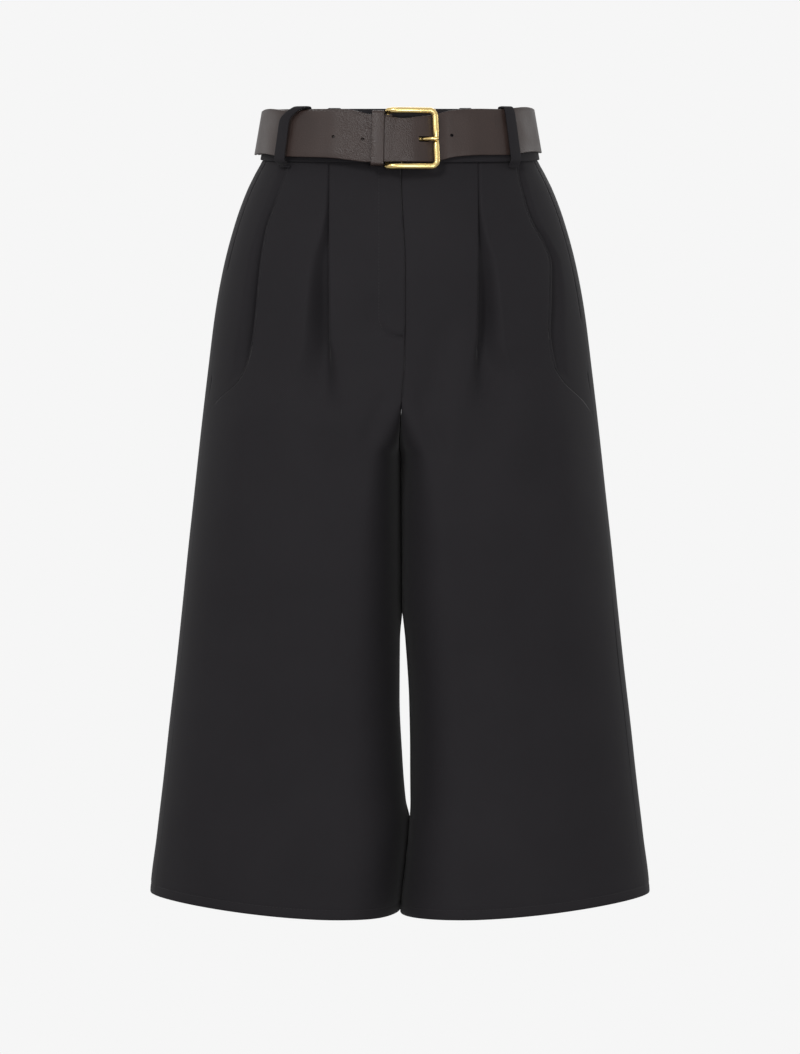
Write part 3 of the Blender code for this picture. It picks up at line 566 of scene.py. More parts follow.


# %% [markdown]
# Cloth in wear is never as even as its pattern. The main creases are listed one row each:
# where it starts and ends as seen from the front or the back, how wide it is, and how deep. A
# positive depth is a trough and a negative one a ridge. Each fades at both ends, and no two are
# alike in length, depth or spacing.

# %% Creases, one row each
Crease = namedtuple("Crease", "x_top z_top x_low z_low width depth")
FRONT_CREASES = (
    Crease(42, -158, 24, -262, 11, 2.6),
    Crease(58, -160, 43, -330, 12, -2.0),
    Crease(-52, -176, -38, -322, 13, -1.6),
    Crease(-66, -192, -58, -262, 13, 1.8),
    Crease(96, -190, 84, -292, 20, 2.6),
    Crease(-24, -140, -25, -190, 6.0, 2.2),
    Crease(12, -222, 40, -300, 8, 1.9),
    Crease(-10, -228, -34, -290, 7, 1.5),
    Crease(-70, -206, -82, -300, 16, 2.0),
    Crease(-128, -190, -148, -392, 20, -2.2),
    Crease(-118, -236, -132, -380, 14, 1.6),
    Crease(136, -200, 150, -368, 20, -2.4),
    Crease(124, -236, 132, -360, 14, 1.6),
    Crease(72, -262, 96, -620, 34, -2.2),
    Crease(-78, -262, -104, -600, 36, -2.1),
    Crease(114, -300, 128, -660, 22, 1.5),
    Crease(160, -380, 178, -692, 26, 1.6),
    Crease(-134, -330, -156, -690, 28, 1.9),
    Crease(34, -400, 40, -690, 20, 1.5),
    Crease(-40, -430, -36, -695, 22, 1.4),
    Crease(94, -50, 86, -150, 16, 0.9),
    Crease(-88, -44, -84, -140, 14, 0.8),
)
BACK_CREASES = (
    Crease(36, -196, 62, -292, 15, 1.7),
    Crease(-32, -204, -58, -300, 14, 1.6),
    Crease(14, -236, 44, -330, 10, 1.4),
    Crease(-12, -240, -40, -322, 10, 1.2),
    Crease(84, -210, 96, -380, 26, -1.6),
    Crease(-90, -230, -100, -400, 28, -1.5),
    Crease(66, -330, 74, -680, 34, 1.5),
    Crease(-70, -350, -76, -690, 36, 1.6),
    Crease(128, -330, 150, -690, 40, -1.6),
    Crease(-124, -320, -152, -680, 38, -1.4),
    Crease(100, -60, 118, -150, 18, 0.8),
    Crease(-104, -66, -120, -160, 17, 0.8),
)
CREASE_FADE = 0.3


def crease_depth(creases, x, z):
    """How deep the creases press the cloth in at these places."""
    total = np.zeros(np.broadcast(x, z).shape)
    for row in creases:
        part = (row.z_top - z) / (row.z_top - row.z_low)
        middle = row.x_top + (row.x_low - row.x_top) * np.clip(part, 0.0, 1.0)
        fade = ease(part / CREASE_FADE) * ease((1.0 - part) / CREASE_FADE)
        total = total + row.depth * fade * np.exp(-(((x - middle) / row.width) ** 2))
    return total


print(len(FRONT_CREASES), "creases in front,", len(BACK_CREASES), "behind")

# %% [markdown]
# Sewn lines pull the cloth in. The fly's stitching runs down beside the centre and turns in to it
# in a J, the hem is stitched a little above its edge, and each back has a dart from the waist. The
# fly itself laps over: beside the centre the cloth of the wearer's left lies a step deeper.

# %% Sewn lines
FLY_OUT = 18.5
FLY_PAST = 2.0
FLY_END = -186.0
FLY_TURN = 17.0
STITCH_DIP = 0.3
STITCH_DIP_WIDE = 1.6
FLY_DIP = 1.6
FLY_BULK = 1.0
FLY_BULK_REACH = 3.2
FLY_FAINT = 0.05
FLY_READ = 90
LAP_STEP = 1.2
LAP_REACH = 5.0
LAP_FADE = 30.0
HEM_STITCH = 8.6
DART_X = 60.0
DART_SLANT = 0.1
DART_END = -122.0
DART_DEEP = 0.9
DART_WIDE = 1.5


def fly_line(part):
    """(x, z) on the fly's stitching: part 0 to 1 runs straight down, 1 to 2 turns in to the centre."""
    part = np.asarray(part, float)
    turn = np.clip(part - 1.0, 0.0, 1.0) * np.pi / 2
    top = PANEL_TOP - 3.0
    straight = top + (FLY_END + FLY_TURN - top) * np.clip(part, 0.0, 1.0)
    x = -FLY_OUT + (FLY_OUT + FLY_PAST) * (1.0 - np.cos(turn))
    return np.stack([x, straight - FLY_TURN * np.sin(turn)], axis=-1)


def fly_depth(x, z):
    """The stitching's groove on the wearer's right front, and the fly's bulk that stands proud in it.

    Both are faint down the front and show most at the fly's foot.
    """
    line = fly_line(np.linspace(0.0, 2.0, FLY_READ))
    away = np.hypot(x[:, None] - line[None, :, 0], z - line[None, :, 1]).min(axis=1)
    low = np.clip((FLY_END + FLY_TURN - z) / FLY_TURN, 0.0, 1.0)
    border = -FLY_OUT + (FLY_OUT + FLY_PAST) * (1.0 - np.sqrt(1.0 - low * low))
    inside = (x > border) * (z > FLY_END)
    shown = FLY_FAINT + (1.0 - FLY_FAINT) * low
    dip = FLY_DIP * np.exp(-((away / STITCH_DIP_WIDE) ** 2))
    return shown * (dip - FLY_BULK * inside * ease(away / FLY_BULK_REACH))


def dart_depth(u, z):
    """A back dart: a sewn line whose groove runs out at its point."""
    middle = DART_X + DART_SLANT * (PANEL_TOP - z)
    left = np.clip((z - DART_END) / (PANEL_TOP - DART_END), 0.0, 1.0)
    return DART_DEEP * np.sqrt(left) * np.exp(-(((u - middle) / DART_WIDE) ** 2))


# %% [markdown]
# ## Cloth panels
#
# A panel is a grid from `create_grid` whose points are moved onto the garment, then thickened. Its
# edges along seams turn in behind, as a seam's allowance does, so two panels meet in a fine groove
# with no light between them. The pressed side seam hardly turns in, because it hardly shows. Below,
# the cloth turns up inside as a hem.
#
# The panel's UV map holds the flat cloth itself, in metres: how far along the row and how far down.
# The weave then follows the cloth round the leg, as it should.

# %% Building a grid of cloth
EdgeTurn = namedtuple("EdgeTurn", "in_from_seam depth")
EDGE_TURN = (
    EdgeTurn(0.60, 2.4),
    EdgeTurn(0.61, 1.2),
    EdgeTurn(0.66, 0.5),
    EdgeTurn(0.84, 0.14),
    EdgeTurn(1.2, 0.02),
)
EDGE_END = 2.2
EDGE_FLAT = (0.03, 0.26, 0.5, 0.84, 1.2)
SIDE_SEAM_SHARE = 0.05
Crisp = namedtuple("Crisp", "z right left")
POCKET_CRISP = (
    Crisp(-20, 1.0, 1.0),
    Crisp(-92, 1.0, 1.0),
    Crisp(-112, 1.0, 0.2),
    Crisp(-206, 1.0, 0.1),
    Crisp(-222, 0.0, 0.0),
    Crisp(-703, 0.0, 0.0),
)
HemTurn = namedtuple("HemTurn", "up depth")
HEM_TURN = (
    HemTurn(2.2, 0.0),
    HemTurn(1.2, 0.1),
    HemTurn(0.75, 0.35),
    HemTurn(0.6, 0.75),
    HemTurn(0.75, 1.15),
    HemTurn(1.2, 1.4),
    HemTurn(2.4, 1.5),
    HemTurn(6.0, 1.5),
    HemTurn(12.0, 1.5),
    HemTurn(18.0, 1.55),
    HemTurn(24.0, 1.6),
)
TopTurn = namedtuple("TopTurn", "up depth")
TOP_TURN = (
    TopTurn(3.2, 2.2),
    TopTurn(1.8, 2.0),
    TopTurn(0.7, 1.5),
    TopTurn(-0.3, 0.6),
    TopTurn(-1.4, 0.12),
)
TOP_CLEAR = 2.8
HEM_CLEAR = 4.0
HEM_STITCH_ROWS = (2.2, 1.0, 0.0, -1.0, -2.2, -4.2)
ROW_STEP = 3.2
FLY_CROWD = 5.5
FLY_CROWD_REACH = 9.0


def stitch_dip(away):
    """The depth of the hem's stitched groove this far from its line."""
    return STITCH_DIP * np.exp(-((away / STITCH_DIP_WIDE) ** 2))


def panel_rows(top, bottom, hemmed):
    """(z, depth) of every row of a panel, from its waist allowance down, round the hem and up inside."""
    rows = [(top + row.up, row.depth) for row in TOP_TURN]
    last = bottom + (HEM_STITCH + HEM_CLEAR if hemmed else 0.0)
    count = int((top - TOP_CLEAR - last) / ROW_STEP)
    even = np.linspace(top - TOP_CLEAR, last, count)
    # The rows stand closer together round the fly's foot, where its stitching crosses them.
    away = (even - FLY_END) / FLY_CROWD_REACH
    even = even - FLY_CROWD * np.exp(-(away**2)) * away
    rows += [(z, 0.0) for z in even]
    if hemmed:
        rows += [(bottom + HEM_STITCH + up, stitch_dip(up)) for up in HEM_STITCH_ROWS]
        rows += [(bottom + row.up, row.depth) for row in HEM_TURN]
    return rows


def flat_places(points):
    """UVs in metres: the length along each row, and the mean length down the columns."""
    across = np.linalg.norm(np.diff(points, axis=1), axis=2)
    across = np.concatenate([np.zeros((len(points), 1)), np.cumsum(across, axis=1)], axis=1)
    down = np.linalg.norm(np.diff(points, axis=0), axis=2).mean(axis=1)
    down = np.concatenate([[0.0], np.cumsum(down)])
    middle = across[:, -1:] / 2
    return np.stack([across - middle, np.broadcast_to(-down[:, None], across.shape)], axis=2) * MM


def moved_grid(points, top_first):
    """A grid moved to points[row][column] (mm), smooth, its UVs the cloth's flat places (m)."""
    rows, columns = points.shape[:2]
    flat = flat_places(points)
    mesh = bmesh.new()
    bmesh.ops.create_grid(mesh, x_segments=columns - 1, y_segments=rows - 1, size=0.5, calc_uvs=True)
    layer = mesh.loops.layers.uv.verify()
    where = {}
    for vert in mesh.verts:
        column = int(round((vert.co.x + 0.5) * (columns - 1)))
        row = int(round((vert.co.y + 0.5) * (rows - 1)))
        where[vert] = (rows - 1 - row if top_first else row, column)
        vert.co = points[where[vert]] * MM
    for face in mesh.faces:
        face.smooth = True
        for loop in face.loops:
            loop[layer].uv = flat[where[loop.vert]]
    return mesh


def cloth_grid(name, points, material):
    """A thin cloth whose points run down from its top row; its open edges stay crisp."""
    mesh = moved_grid(points, top_first=True)
    for edge in mesh.edges:
        edge.smooth = not edge.is_boundary
    bmesh.ops.recalc_face_normals(mesh, faces=mesh.faces)
    return finish_piece(name, mesh, material, CLOTH)


def finish_piece(name, mesh, material, thick=0.0):
    """Turns a bmesh into an object at the origin, thickened if asked."""
    data = bpy.data.meshes.new(name)
    mesh.to_mesh(data)
    mesh.free()
    data.materials.append(material)
    piece = bpy.data.objects.new(name, data)
    bpy.context.scene.collection.objects.link(piece)
    if thick:
        wall = piece.modifiers.new("wall", "SOLIDIFY")
        wall.thickness = thick * MM
        wall.offset = 0.0
        wall.use_even_offset = False
    return piece


# %% Edges and rows of a panel
def edge_columns(share):
    """(in from the seam, depth) of a turned edge; at a share of 0 it lies flat against the next panel."""
    columns = []
    for row, flat_in in zip(EDGE_TURN, EDGE_FLAT):
        columns.append((flat_in + share * (row.in_from_seam - flat_in), share * row.depth))
    return columns


def with_edges(lengths, depths, start_share, end_share):
    """Adds the turned-in columns where a row begins and ends at a seam; None is no seam."""
    before = []
    after = []
    lengths = lengths.copy()
    if start_share is not None:
        before = [(lengths[0] + near, depths[0] + depth) for near, depth in edge_columns(start_share)]
        lengths[0] += EDGE_END
    if end_share is not None:
        after = [(lengths[-1] - near, depths[-1] + depth) for near, depth in edge_columns(end_share)][::-1]
        lengths[-1] -= EDGE_END
    all_lengths = [length for length, _ in before] + list(lengths) + [length for length, _ in after]
    all_depths = [depth for _, depth in before] + list(depths) + [depth for _, depth in after]
    return np.array(all_lengths), np.array(all_depths)


def panel_points(side_name, row_of, rows):
    """World points of a panel, row by row."""
    made = []
    for z, extra in rows:
        nominal = min(z, PANEL_TOP)
        curve = Curve(half_section(side_name, nominal))
        lengths, depths = row_of(side_name, nominal, curve)
        points = curve.at(lengths) - curve.outward(lengths) * (depths + extra)[:, None]
        placed = place(side_name, points, nominal)
        placed[:, 2] += z - nominal
        made.append(placed)
    return np.array(made)


# %% [markdown]
# The front, the back and the hip piece differ only in how one of their rows runs: where it starts
# and ends, and how deep each of its points lies under the plan curve.


# %% Rows of the front, the back and the hip piece
SEAM_COLUMNS = 26
GAP_COLUMNS = 10
PLEAT_COLUMNS = (9, 6, 20)
OUTER_COLUMNS = 30
BACK_COLUMNS = 62
HIP_COLUMNS = 30
SIDE_FADE = 30.0
LAP_CLOSING = 10.0
EDGE_CLEAR = 0.4
LEAST_RISE = 0.5


def front_row(side_name, z, curve):
    """Lengths and depths of a front's row, from the centre seam over the pleat to the pocket's edge."""
    pleat_at = PLEAT_OUT[side_name] + PLEAT_SPREAD * max(0.0, FRONT_NOTCH - z)
    fold, deep = pleat_row(z, *PLEAT_COLUMNS)
    fold = fold + curve.front_length(pleat_at)
    end = curve.front_length(style_line_at(side_name, z))
    border = FRONT_BORDER.least + FRONT_BORDER.share * read_table(CRESTS, "front", z)
    border = curve.front_length(border)
    inner = curve.spread(0.0, border, SEAM_COLUMNS)
    inner = np.concatenate([inner, np.linspace(border, fold[0], GAP_COLUMNS)[1:-1]])
    rest = curve.spread(fold[-1], end, OUTER_COLUMNS)[1:]
    lengths = np.concatenate([inner, fold, rest])
    depths = np.concatenate([np.zeros(len(inner)), deep, np.zeros(len(rest))])
    x = SIDES[side_name] * curve.at(lengths)[:, 0]
    depths = depths + crease_depth(FRONT_CREASES, x, z)
    if side_name == "right":
        depths = depths + fly_depth(x, z)
    else:
        lapped = ease((z - FLY_END + LAP_FADE) / LAP_FADE)
        depths = depths + LAP_STEP * np.exp(-lengths / LAP_REACH) * lapped
    return with_edges(lengths, depths, 1.0, read_table(POCKET_CRISP, side_name, z))


def back_row(side_name, z, curve):
    """Lengths and depths of a back's row, from the side seam round to the centre seam."""
    start = curve.front_length(side_seam_at(z))
    border = BACK_BORDER.least + BACK_BORDER.share * read_table(CRESTS, "back", z)
    border = curve.back_length(border)
    outer = curve.spread(start, border, BACK_COLUMNS)
    lengths = np.concatenate([outer, curve.spread(border, curve.total, SEAM_COLUMNS)[1:]])
    u, y = curve.at(lengths).T
    depths = crease_depth(BACK_CREASES, SIDES[side_name] * u, z) * ease(y / SIDE_FADE)
    depths = depths + dart_depth(u, z) * (y > 0)
    return with_edges(lengths, depths, SIDE_SEAM_SHARE, 1.0)


def hip_row(side_name, z, curve):
    """Lengths and depths of the piece behind a pocket's edge, from under the front to the side seam."""
    edge = curve.front_length(style_line_at(side_name, z))
    seam = curve.front_length(side_seam_at(z))
    lap = POCKET_LAP * ease((z - POCKET_CLOSED) / LAP_CLOSING)
    lengths = np.linspace(edge - lap + EDGE_FLAT[0], seam, HIP_COLUMNS)
    deep = read_table(POCKETS, side_name + "_deep", z)
    rise = min(read_table(POCKETS, side_name + "_rise", z), max(seam - edge, LEAST_RISE))
    depths = deep * (1.0 - ease((lengths - edge - EDGE_CLEAR) / rise))
    return with_edges(lengths, depths, None, SIDE_SEAM_SHARE)


# %% [markdown]
# ## Finishes
#
# **Suiting**: a black polyester and viscose twill, dyed in the piece and pressed matt. It takes
# almost no light from the front, and its fine nap catches a little at grazing angles, so the round
# sides look a touch lighter than the middle. Real threads lie 0.4 mm apart, too fine for the
# picture, so the twill is drawn at 1.1 mm and kept faint.

# %% Suiting
CLOTH_DARK = "#1a181b"
CLOTH_LIGHT = "#211f22"
TWILL_STEP = 1.1
TWILL_TURN = 63.0


def suiting():
    """Matt twill: faint slanting ribs on the cloth's own UVs, a fine nap, and a slow change of tone."""
    material, tree, shader = new_material("suiting_black_twill_pressed")
    uv = add_node(tree, "ShaderNodeTexCoord")
    place_twill = add_node(
        tree, "ShaderNodeMapping", Vector=(uv, "UV"), Rotation=(0.0, 0.0, np.radians(TWILL_TURN))
    )
    # A wave's bands are 2 pi / 20 apart at scale 1.
    twill = add_node(
        tree,
        "ShaderNodeTexWave",
        {"wave_type": "BANDS", "bands_direction": "X"},
        Vector=(place_twill, "Vector"),
        Scale=np.pi / 10 / (TWILL_STEP * MM),
        Distortion=0.6,
        Detail=1.0,
    )
    nap = add_node(tree, "ShaderNodeTexNoise", Vector=(uv, "Object"), Scale=900.0, Detail=2.0)
    cloud = add_node(tree, "ShaderNodeTexNoise", Vector=(uv, "Object"), Scale=14.0, Detail=3.0)
    shade = add_node(
        tree,
        "ShaderNodeMix",
        {"data_type": "RGBA"},
        _0=(cloud, 0),
        _6=linear(CLOTH_DARK),
        _7=linear(CLOTH_LIGHT),
    )
    tree.links.new(shade.outputs[2], shader.inputs["Base Color"])
    weighed = {"operation": "MULTIPLY_ADD"}
    height = add_node(tree, "ShaderNodeMath", weighed, _0=(nap, 0), _1=0.8, _2=(twill, 1))
    bump = add_node(tree, "ShaderNodeBump", Height=(height, 0), Strength=0.25, Distance=0.12 * MM)
    tree.links.new(bump.outputs[0], shader.inputs["Normal"])
    shader.inputs["Roughness"].default_value = 0.82
    shader.inputs["Specular IOR Level"].default_value = 0.22
    shader.inputs["Sheen Weight"].default_value = 0.06
    shader.inputs["Sheen Roughness"].default_value = 0.35
    return material


cloth = suiting()
print("twill at", TWILL_STEP, "mm")

# %% [markdown]
# **Belt leather**: split cowhide, embossed with a fine pebble and finished dark brown with a soft
# polish. The pebble's cells are 1.25 mm across. They stand out beside the buckle, where the strap
# has been bent and its light breaks up, and are worn nearly flat elsewhere.

# %% Leather
LEATHER_DARK = "#2c211e"
LEATHER_LIGHT = "#382b27"
PEBBLE = 1.25
Grain = namedtuple("Grain", "x half")
GRAIN_PLACES = (Grain(-37.0, 15.0), Grain(-1.5, 13.5))
GRAIN_FADE = 6.0
GRAIN_LEAST = 0.22


def belt_leather():
    """Brown leather whose grain is strongest at two places along x."""
    material, tree, shader = new_material("cowhide_brown_pebbled")
    where = add_node(tree, "ShaderNodeTexCoord")
    cells = add_node(
        tree,
        "ShaderNodeTexVoronoi",
        {"feature": "SMOOTH_F1"},
        Vector=(where, "Object"),
        Scale=1.0 / (PEBBLE * MM),
        Smoothness=0.6,
        Randomness=0.95,
    )
    cloud = add_node(tree, "ShaderNodeTexNoise", Vector=(where, "Object"), Scale=45.0, Detail=4.0)
    shade = add_node(
        tree,
        "ShaderNodeMix",
        {"data_type": "RGBA"},
        _0=(cloud, 0),
        _6=linear(LEATHER_DARK),
        _7=linear(LEATHER_LIGHT),
    )
    tree.links.new(shade.outputs[2], shader.inputs["Base Color"])
    fine = add_node(tree, "ShaderNodeTexNoise", Vector=(where, "Object"), Scale=2200.0, Detail=2.0)
    weighed = {"operation": "MULTIPLY_ADD"}
    height = add_node(tree, "ShaderNodeMath", weighed, _0=(fine, 0), _1=0.25, _2=(cells, 0))
    split = add_node(tree, "ShaderNodeSeparateXYZ", Vector=(where, "Object"))
    strongest = None
    for row in GRAIN_PLACES:
        off = add_node(tree, "ShaderNodeMath", {"operation": "SUBTRACT"}, _0=(split, "X"), _1=row.x * MM)
        away = add_node(tree, "ShaderNodeMath", {"operation": "ABSOLUTE"}, _0=(off, 0))
        here = add_node(
            tree,
            "ShaderNodeMapRange",
            {"interpolation_type": "SMOOTHSTEP"},
            Value=(away, 0),
            _1=(row.half - GRAIN_FADE) * MM,
            _2=(row.half + GRAIN_FADE) * MM,
            _3=1.0,
            _4=GRAIN_LEAST,
        )
        if strongest is None:
            strongest = here
        else:
            most = {"operation": "MAXIMUM"}
            strongest = add_node(tree, "ShaderNodeMath", most, _0=(strongest, 0), _1=(here, 0))
    bump = add_node(
        tree,
        "ShaderNodeBump",
        {"invert": True},
        Height=(height, 0),
        Strength=(strongest, 0),
        Distance=0.42 * MM,
    )
    tree.links.new(bump.outputs[0], shader.inputs["Normal"])
    rough = add_node(tree, "ShaderNodeMapRange", Value=(cloud, 0), _1=0.3, _2=0.7, _3=0.4, _4=0.5)
    tree.links.new(rough.outputs[0], shader.inputs["Roughness"])
    shader.inputs["Specular IOR Level"].default_value = 0.42
    return material


leather = belt_leather()
print("pebble cells", PEBBLE, "mm")

# %% [markdown]
# **Buckle brass**: cast, tumbled and lightly brushed, with a yellow gold colour. A metal's colour
# is its reflection, so what makes it look like brass is mostly what the studio gives it to mirror.

# %% Brass
BRASS = "#ecd08c"


def buckle_brass():
    """Yellow brass with the soft dents that tumbling leaves."""
    material, tree, shader = new_material("brass_cast_tumbled")
    where = add_node(tree, "ShaderNodeTexCoord")
    marks = add_node(tree, "ShaderNodeTexNoise", Vector=(where, "Object"), Scale=260.0, Detail=4.0)
    bump = add_node(tree, "ShaderNodeBump", Height=(marks, 0), Strength=0.2, Distance=0.15 * MM)
    tree.links.new(bump.outputs[0], shader.inputs["Normal"])
    shader.inputs["Base Color"].default_value = linear(BRASS)
    shader.inputs["Metallic"].default_value = 1.0
    shader.inputs["Roughness"].default_value = 0.27
    return material


brass = buckle_brass()
print("brass", BRASS)

# %% [markdown]
# **Thread**: black polyester core-spun thread, nearly 0.4 mm thick, a little glossier than the cloth.

# %% Thread
THREAD_BLACK = "#1b191b"


def sewing_thread():
    """Thread with the faint bump of its twist."""
    material, tree, shader = new_material("polyester_thread_black")
    where = add_node(tree, "ShaderNodeTexCoord")
    twist = add_node(tree, "ShaderNodeTexNoise", Vector=(where, "Object"), Scale=1500.0, Detail=1.0)
    bump = add_node(tree, "ShaderNodeBump", Height=(twist, 0), Strength=0.3, Distance=0.05 * MM)
    tree.links.new(bump.outputs[0], shader.inputs["Normal"])
    shader.inputs["Base Color"].default_value = linear(THREAD_BLACK)
    shader.inputs["Roughness"].default_value = 0.6
    return material


thread = sewing_thread()
print("thread", THREAD_BLACK)

# %% [markdown]
# ## The six cloth panels
#
# Fronts, backs and hip pieces are made by the same call with their own row function.

# %% Fronts, backs and hip pieces
PanelCut = namedtuple("PanelCut", "part row_of bottom hemmed flat area")
PANEL_CUTS = (
    PanelCut("front", front_row, HEM, True, (0.335, 0.735), 0.184),
    PanelCut("back", back_row, HEM, True, (0.375, 0.735), 0.227),
    PanelCut("hip", hip_row, HIP_END, False, (0.085, 0.235), 0.0135),
)


def dress(piece, node):
    """The piece rides with the garment and stands for its solid, which is hidden."""
    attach(piece, "root")
    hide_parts(node)
    return piece


for side_name in SIDES:
    for cut in PANEL_CUTS:
        points = panel_points(side_name, cut.row_of, panel_rows(PANEL_TOP, cut.bottom, cut.hemmed))
        node = cut.part + "_" + side_name
        panel = cloth_grid(node + "_cloth", points, cloth)
        dress(panel, node)
        print(node, points.shape[1], "x", points.shape[0], "points")

# %% [markdown]
# ## The waist ring
#
# Waistband, belt, loops and buckle all stand on one ring round the waist. A place on it has an
# angle (0 in front, growing to the wearer's left), a height and a distance out from the cloth.

# %% Places on the waist ring
BAND_OUT = 1.3
BAND_FACE = BAND_OUT + BAND_CLOTH / 2
AIM_ROUNDS = 8
AIM_SHARE = 0.8


def ring_size(column, z):
    """A size of the garment at height z, with straight sides over the band's height."""
    if z < -BAND_HALF:
        return read_table(SECTIONS, column, z)
    low = read_table(SECTIONS, column, -BAND_HALF)
    high = read_table(SECTIONS, column, BAND_HALF)
    return low + (high - low) * (z + BAND_HALF) / (2 * BAND_HALF)


def ring_point(angle, z, out):
    """A world point (mm) on the waist ring: angle 0 is the front and grows towards +x."""
    wide = ring_size("half_width", z)
    deep = ring_size("front" if np.cos(angle) > 0 else "back", z)
    power = FRONT_ROUND if np.cos(angle) > 0 else BACK_ROUND
    across = abs(np.sin(angle) / wide)
    along = abs(np.cos(angle) / deep)
    reach = (across**power + along**power) ** (-1 / power)
    x = reach * np.sin(angle)
    y = -reach * np.cos(angle)
    normal_x = np.sign(np.sin(angle)) * (abs(x) / wide) ** (power - 1) / wide
    normal_y = -np.sign(np.cos(angle)) * (abs(y) / deep) ** (power - 1) / deep
    length = np.hypot(normal_x, normal_y)
    x += out * normal_x / length
    y += out * normal_y / length
    return np.array([x, y, z + waist_tilt(y, z)])


def angle_at(x):
    """The ring's angle at which its front reaches x, at mid height."""
    wide = ring_size("half_width", 0)
    deep = ring_size("front", 0)
    y = deep * (1 - min(abs(x) / wide, 1.0) ** FRONT_ROUND) ** (1 / FRONT_ROUND)
    return float(np.arctan2(x, y))


def angle_off(x, out):
    """The ring's angle at which a point that stands off the band's face reaches x."""
    aim = x
    for _ in range(AIM_ROUNDS):
        aim += AIM_SHARE * (x - ring_point(angle_at(aim), 0.0, BAND_FACE + out)[0])
    return angle_at(aim)


def band_place(x, out, z):
    """A world point (mm) in front of the band, at this x and height, standing off the band's face."""
    level = z - waist_tilt(-ring_size("front", 0) - BAND_FACE - out, 0.0)
    return ring_point(angle_off(x, out), level, BAND_FACE + out)


# %% [markdown]
# Long pieces such as the band, the strap and the loops are swept: one section after another, as
# rings of points. The sweep is a grid rolled up on itself. Its two long edges are merged, and its
# open ends are filled.


# %% Sweeping sections into a piece
MERGE_NEAR = 0.002
SHARP_OVER = 50.0


def rounded_box(half_wide, half_tall, radius, corner_steps, side_steps):
    """(a, b) points round a rectangle with round corners, from its lower right corner upward."""
    points = []
    corners = ((1, -1, -90), (1, 1, 0), (-1, 1, 90), (-1, -1, 180))
    for index, (a_sign, b_sign, start) in enumerate(corners):
        for step in range(corner_steps + 1):
            turn = np.radians(start + 90.0 * step / corner_steps)
            a = a_sign * (half_wide - radius) + radius * np.cos(turn)
            b = b_sign * (half_tall - radius) + radius * np.sin(turn)
            points.append((a, b))
        straight = side_steps if index % 2 == 0 else 0
        following = corners[(index + 1) % 4]
        turn = np.radians(start + 90.0)
        end_a = following[0] * (half_wide - radius) + radius * np.cos(turn)
        end_b = following[1] * (half_tall - radius) + radius * np.sin(turn)
        for step in range(1, straight + 1):
            part = step / (straight + 1)
            points.append((a + (end_a - a) * part, b + (end_b - b) * part))
    return points


def sweep(name, rings, material, closed_path=False):
    """A solid whose sections are the rings (mm); UVs are metres round the section and along it."""
    rings = np.array([list(ring) + [ring[0]] for ring in rings])
    if closed_path:
        rings = np.concatenate([rings, rings[:1]])
    mesh = moved_grid(rings, top_first=False)
    bmesh.ops.remove_doubles(mesh, verts=mesh.verts, dist=MERGE_NEAR * MM)
    bmesh.ops.holes_fill(mesh, edges=mesh.edges, sides=0)
    bmesh.ops.recalc_face_normals(mesh, faces=mesh.faces)
    piece = finish_piece(name, mesh, material)
    piece.data.set_sharp_from_angle(angle=np.radians(SHARP_OVER))
    return piece


# %% [markdown]
# The waistband is two layers of suiting pressed as one, 45 mm high and soft at its edges. It goes
# once round the ring, and its ends meet at the centre front, behind the buckle.

# %% Waistband
BAND_EDGE = 0.9
BAND_SLIT_X = 1.0
BAND_SLIT_TURN = 0.004
BAND_RINGS = 260


def waistband():
    """The band, from one side of its opening round to the other."""
    section = rounded_box(BAND_CLOTH / 2, BAND_HALF, BAND_EDGE, 4, 10)
    middle_out = BAND_FACE - BAND_CLOTH / 2
    start = angle_at(BAND_SLIT_X) + BAND_SLIT_TURN
    end = start + 2 * np.pi - 2 * BAND_SLIT_TURN
    rings = []
    for angle in np.linspace(start, end, BAND_RINGS):
        rings.append([ring_point(angle, z, middle_out + out) for out, z in section])
    return sweep("waistband_cloth", rings, cloth)


band = dress(waistband(), "waistband")
print("waistband made")

# %% [markdown]
# ## The belt
#
# The strap starts as an end folded back round the buckle's pivot bar and goes once round the waist.
# It then passes behind the buckle's right bar and out over the pivot bar, and its free end lies
# outside the first layer, under the keeper and the loop. How far it stands off the band and how
# high it lies are read from short tables along x.

# %% Belt sizes
Stand = namedtuple("Stand", "x out")
FOLDED_END = (Stand(-62, 2.6), Stand(-40, 3.4), Stand(-22, 4.6), Stand(-11, 3.85))
MAIN_LAYER = (
    Stand(-130, 1.8),
    Stand(-95, 1.9),
    Stand(-78, 3.4),
    Stand(-60, 5.8),
    Stand(-38, 6.9),
    Stand(-22, 9.0),
    Stand(-11, 10.55),
)
FREE_END = (
    Stand(-130, 4.95),
    Stand(-95, 5.1),
    Stand(-78, 6.8),
    Stand(-60, 9.1),
    Stand(-38, 10.4),
    Stand(-22, 12.5),
    Stand(-11, 13.8),
    Stand(0, 13.6),
    Stand(10, 12.6),
    Stand(20, 9.6),
    Stand(27, 6.6),
    Stand(34, 4.2),
    Stand(42, 3.0),
    Stand(56, 2.2),
    Stand(80, 1.8),
)
Level = namedtuple("Level", "x main free")
LEVELS = (
    Level(-125, 0.4, 0.4),
    Level(-104, -2.8, -4.0),
    Level(-85, -4.4, -5.8),
    Level(-60, -5.4, -7.6),
    Level(-45, -6.6, -9.6),
    Level(-25, -11.0, -11.8),
    Level(-3, -11.5, -11.5),
    Level(24, -11.4, -11.4),
    Level(35, -9.6, -9.6),
    Level(47, -6.6, -6.6),
    Level(66, -4.7, -4.7),
    Level(92, -3.4, -3.4),
    Level(125, 2.3, 2.3),
)
BACK_LEVEL = 9.5
BACK_FROM = -20.0
BACK_REACH = 100.0
FREE_TURN = 1.05
PIVOT_X = -11.0
PIVOT_OUT = 7.2
PIVOT_RADIUS = 1.8
BUCKLE_LEVEL = -11.65
PRONG_LEVEL = BUCKLE_LEVEL - 0.6
STRAP_EDGE = 0.8
STRAP_OUTLINE = rounded_box(STRAP_THICK / 2, STRAP_WIDE / 2, STRAP_EDGE, 3, 8)


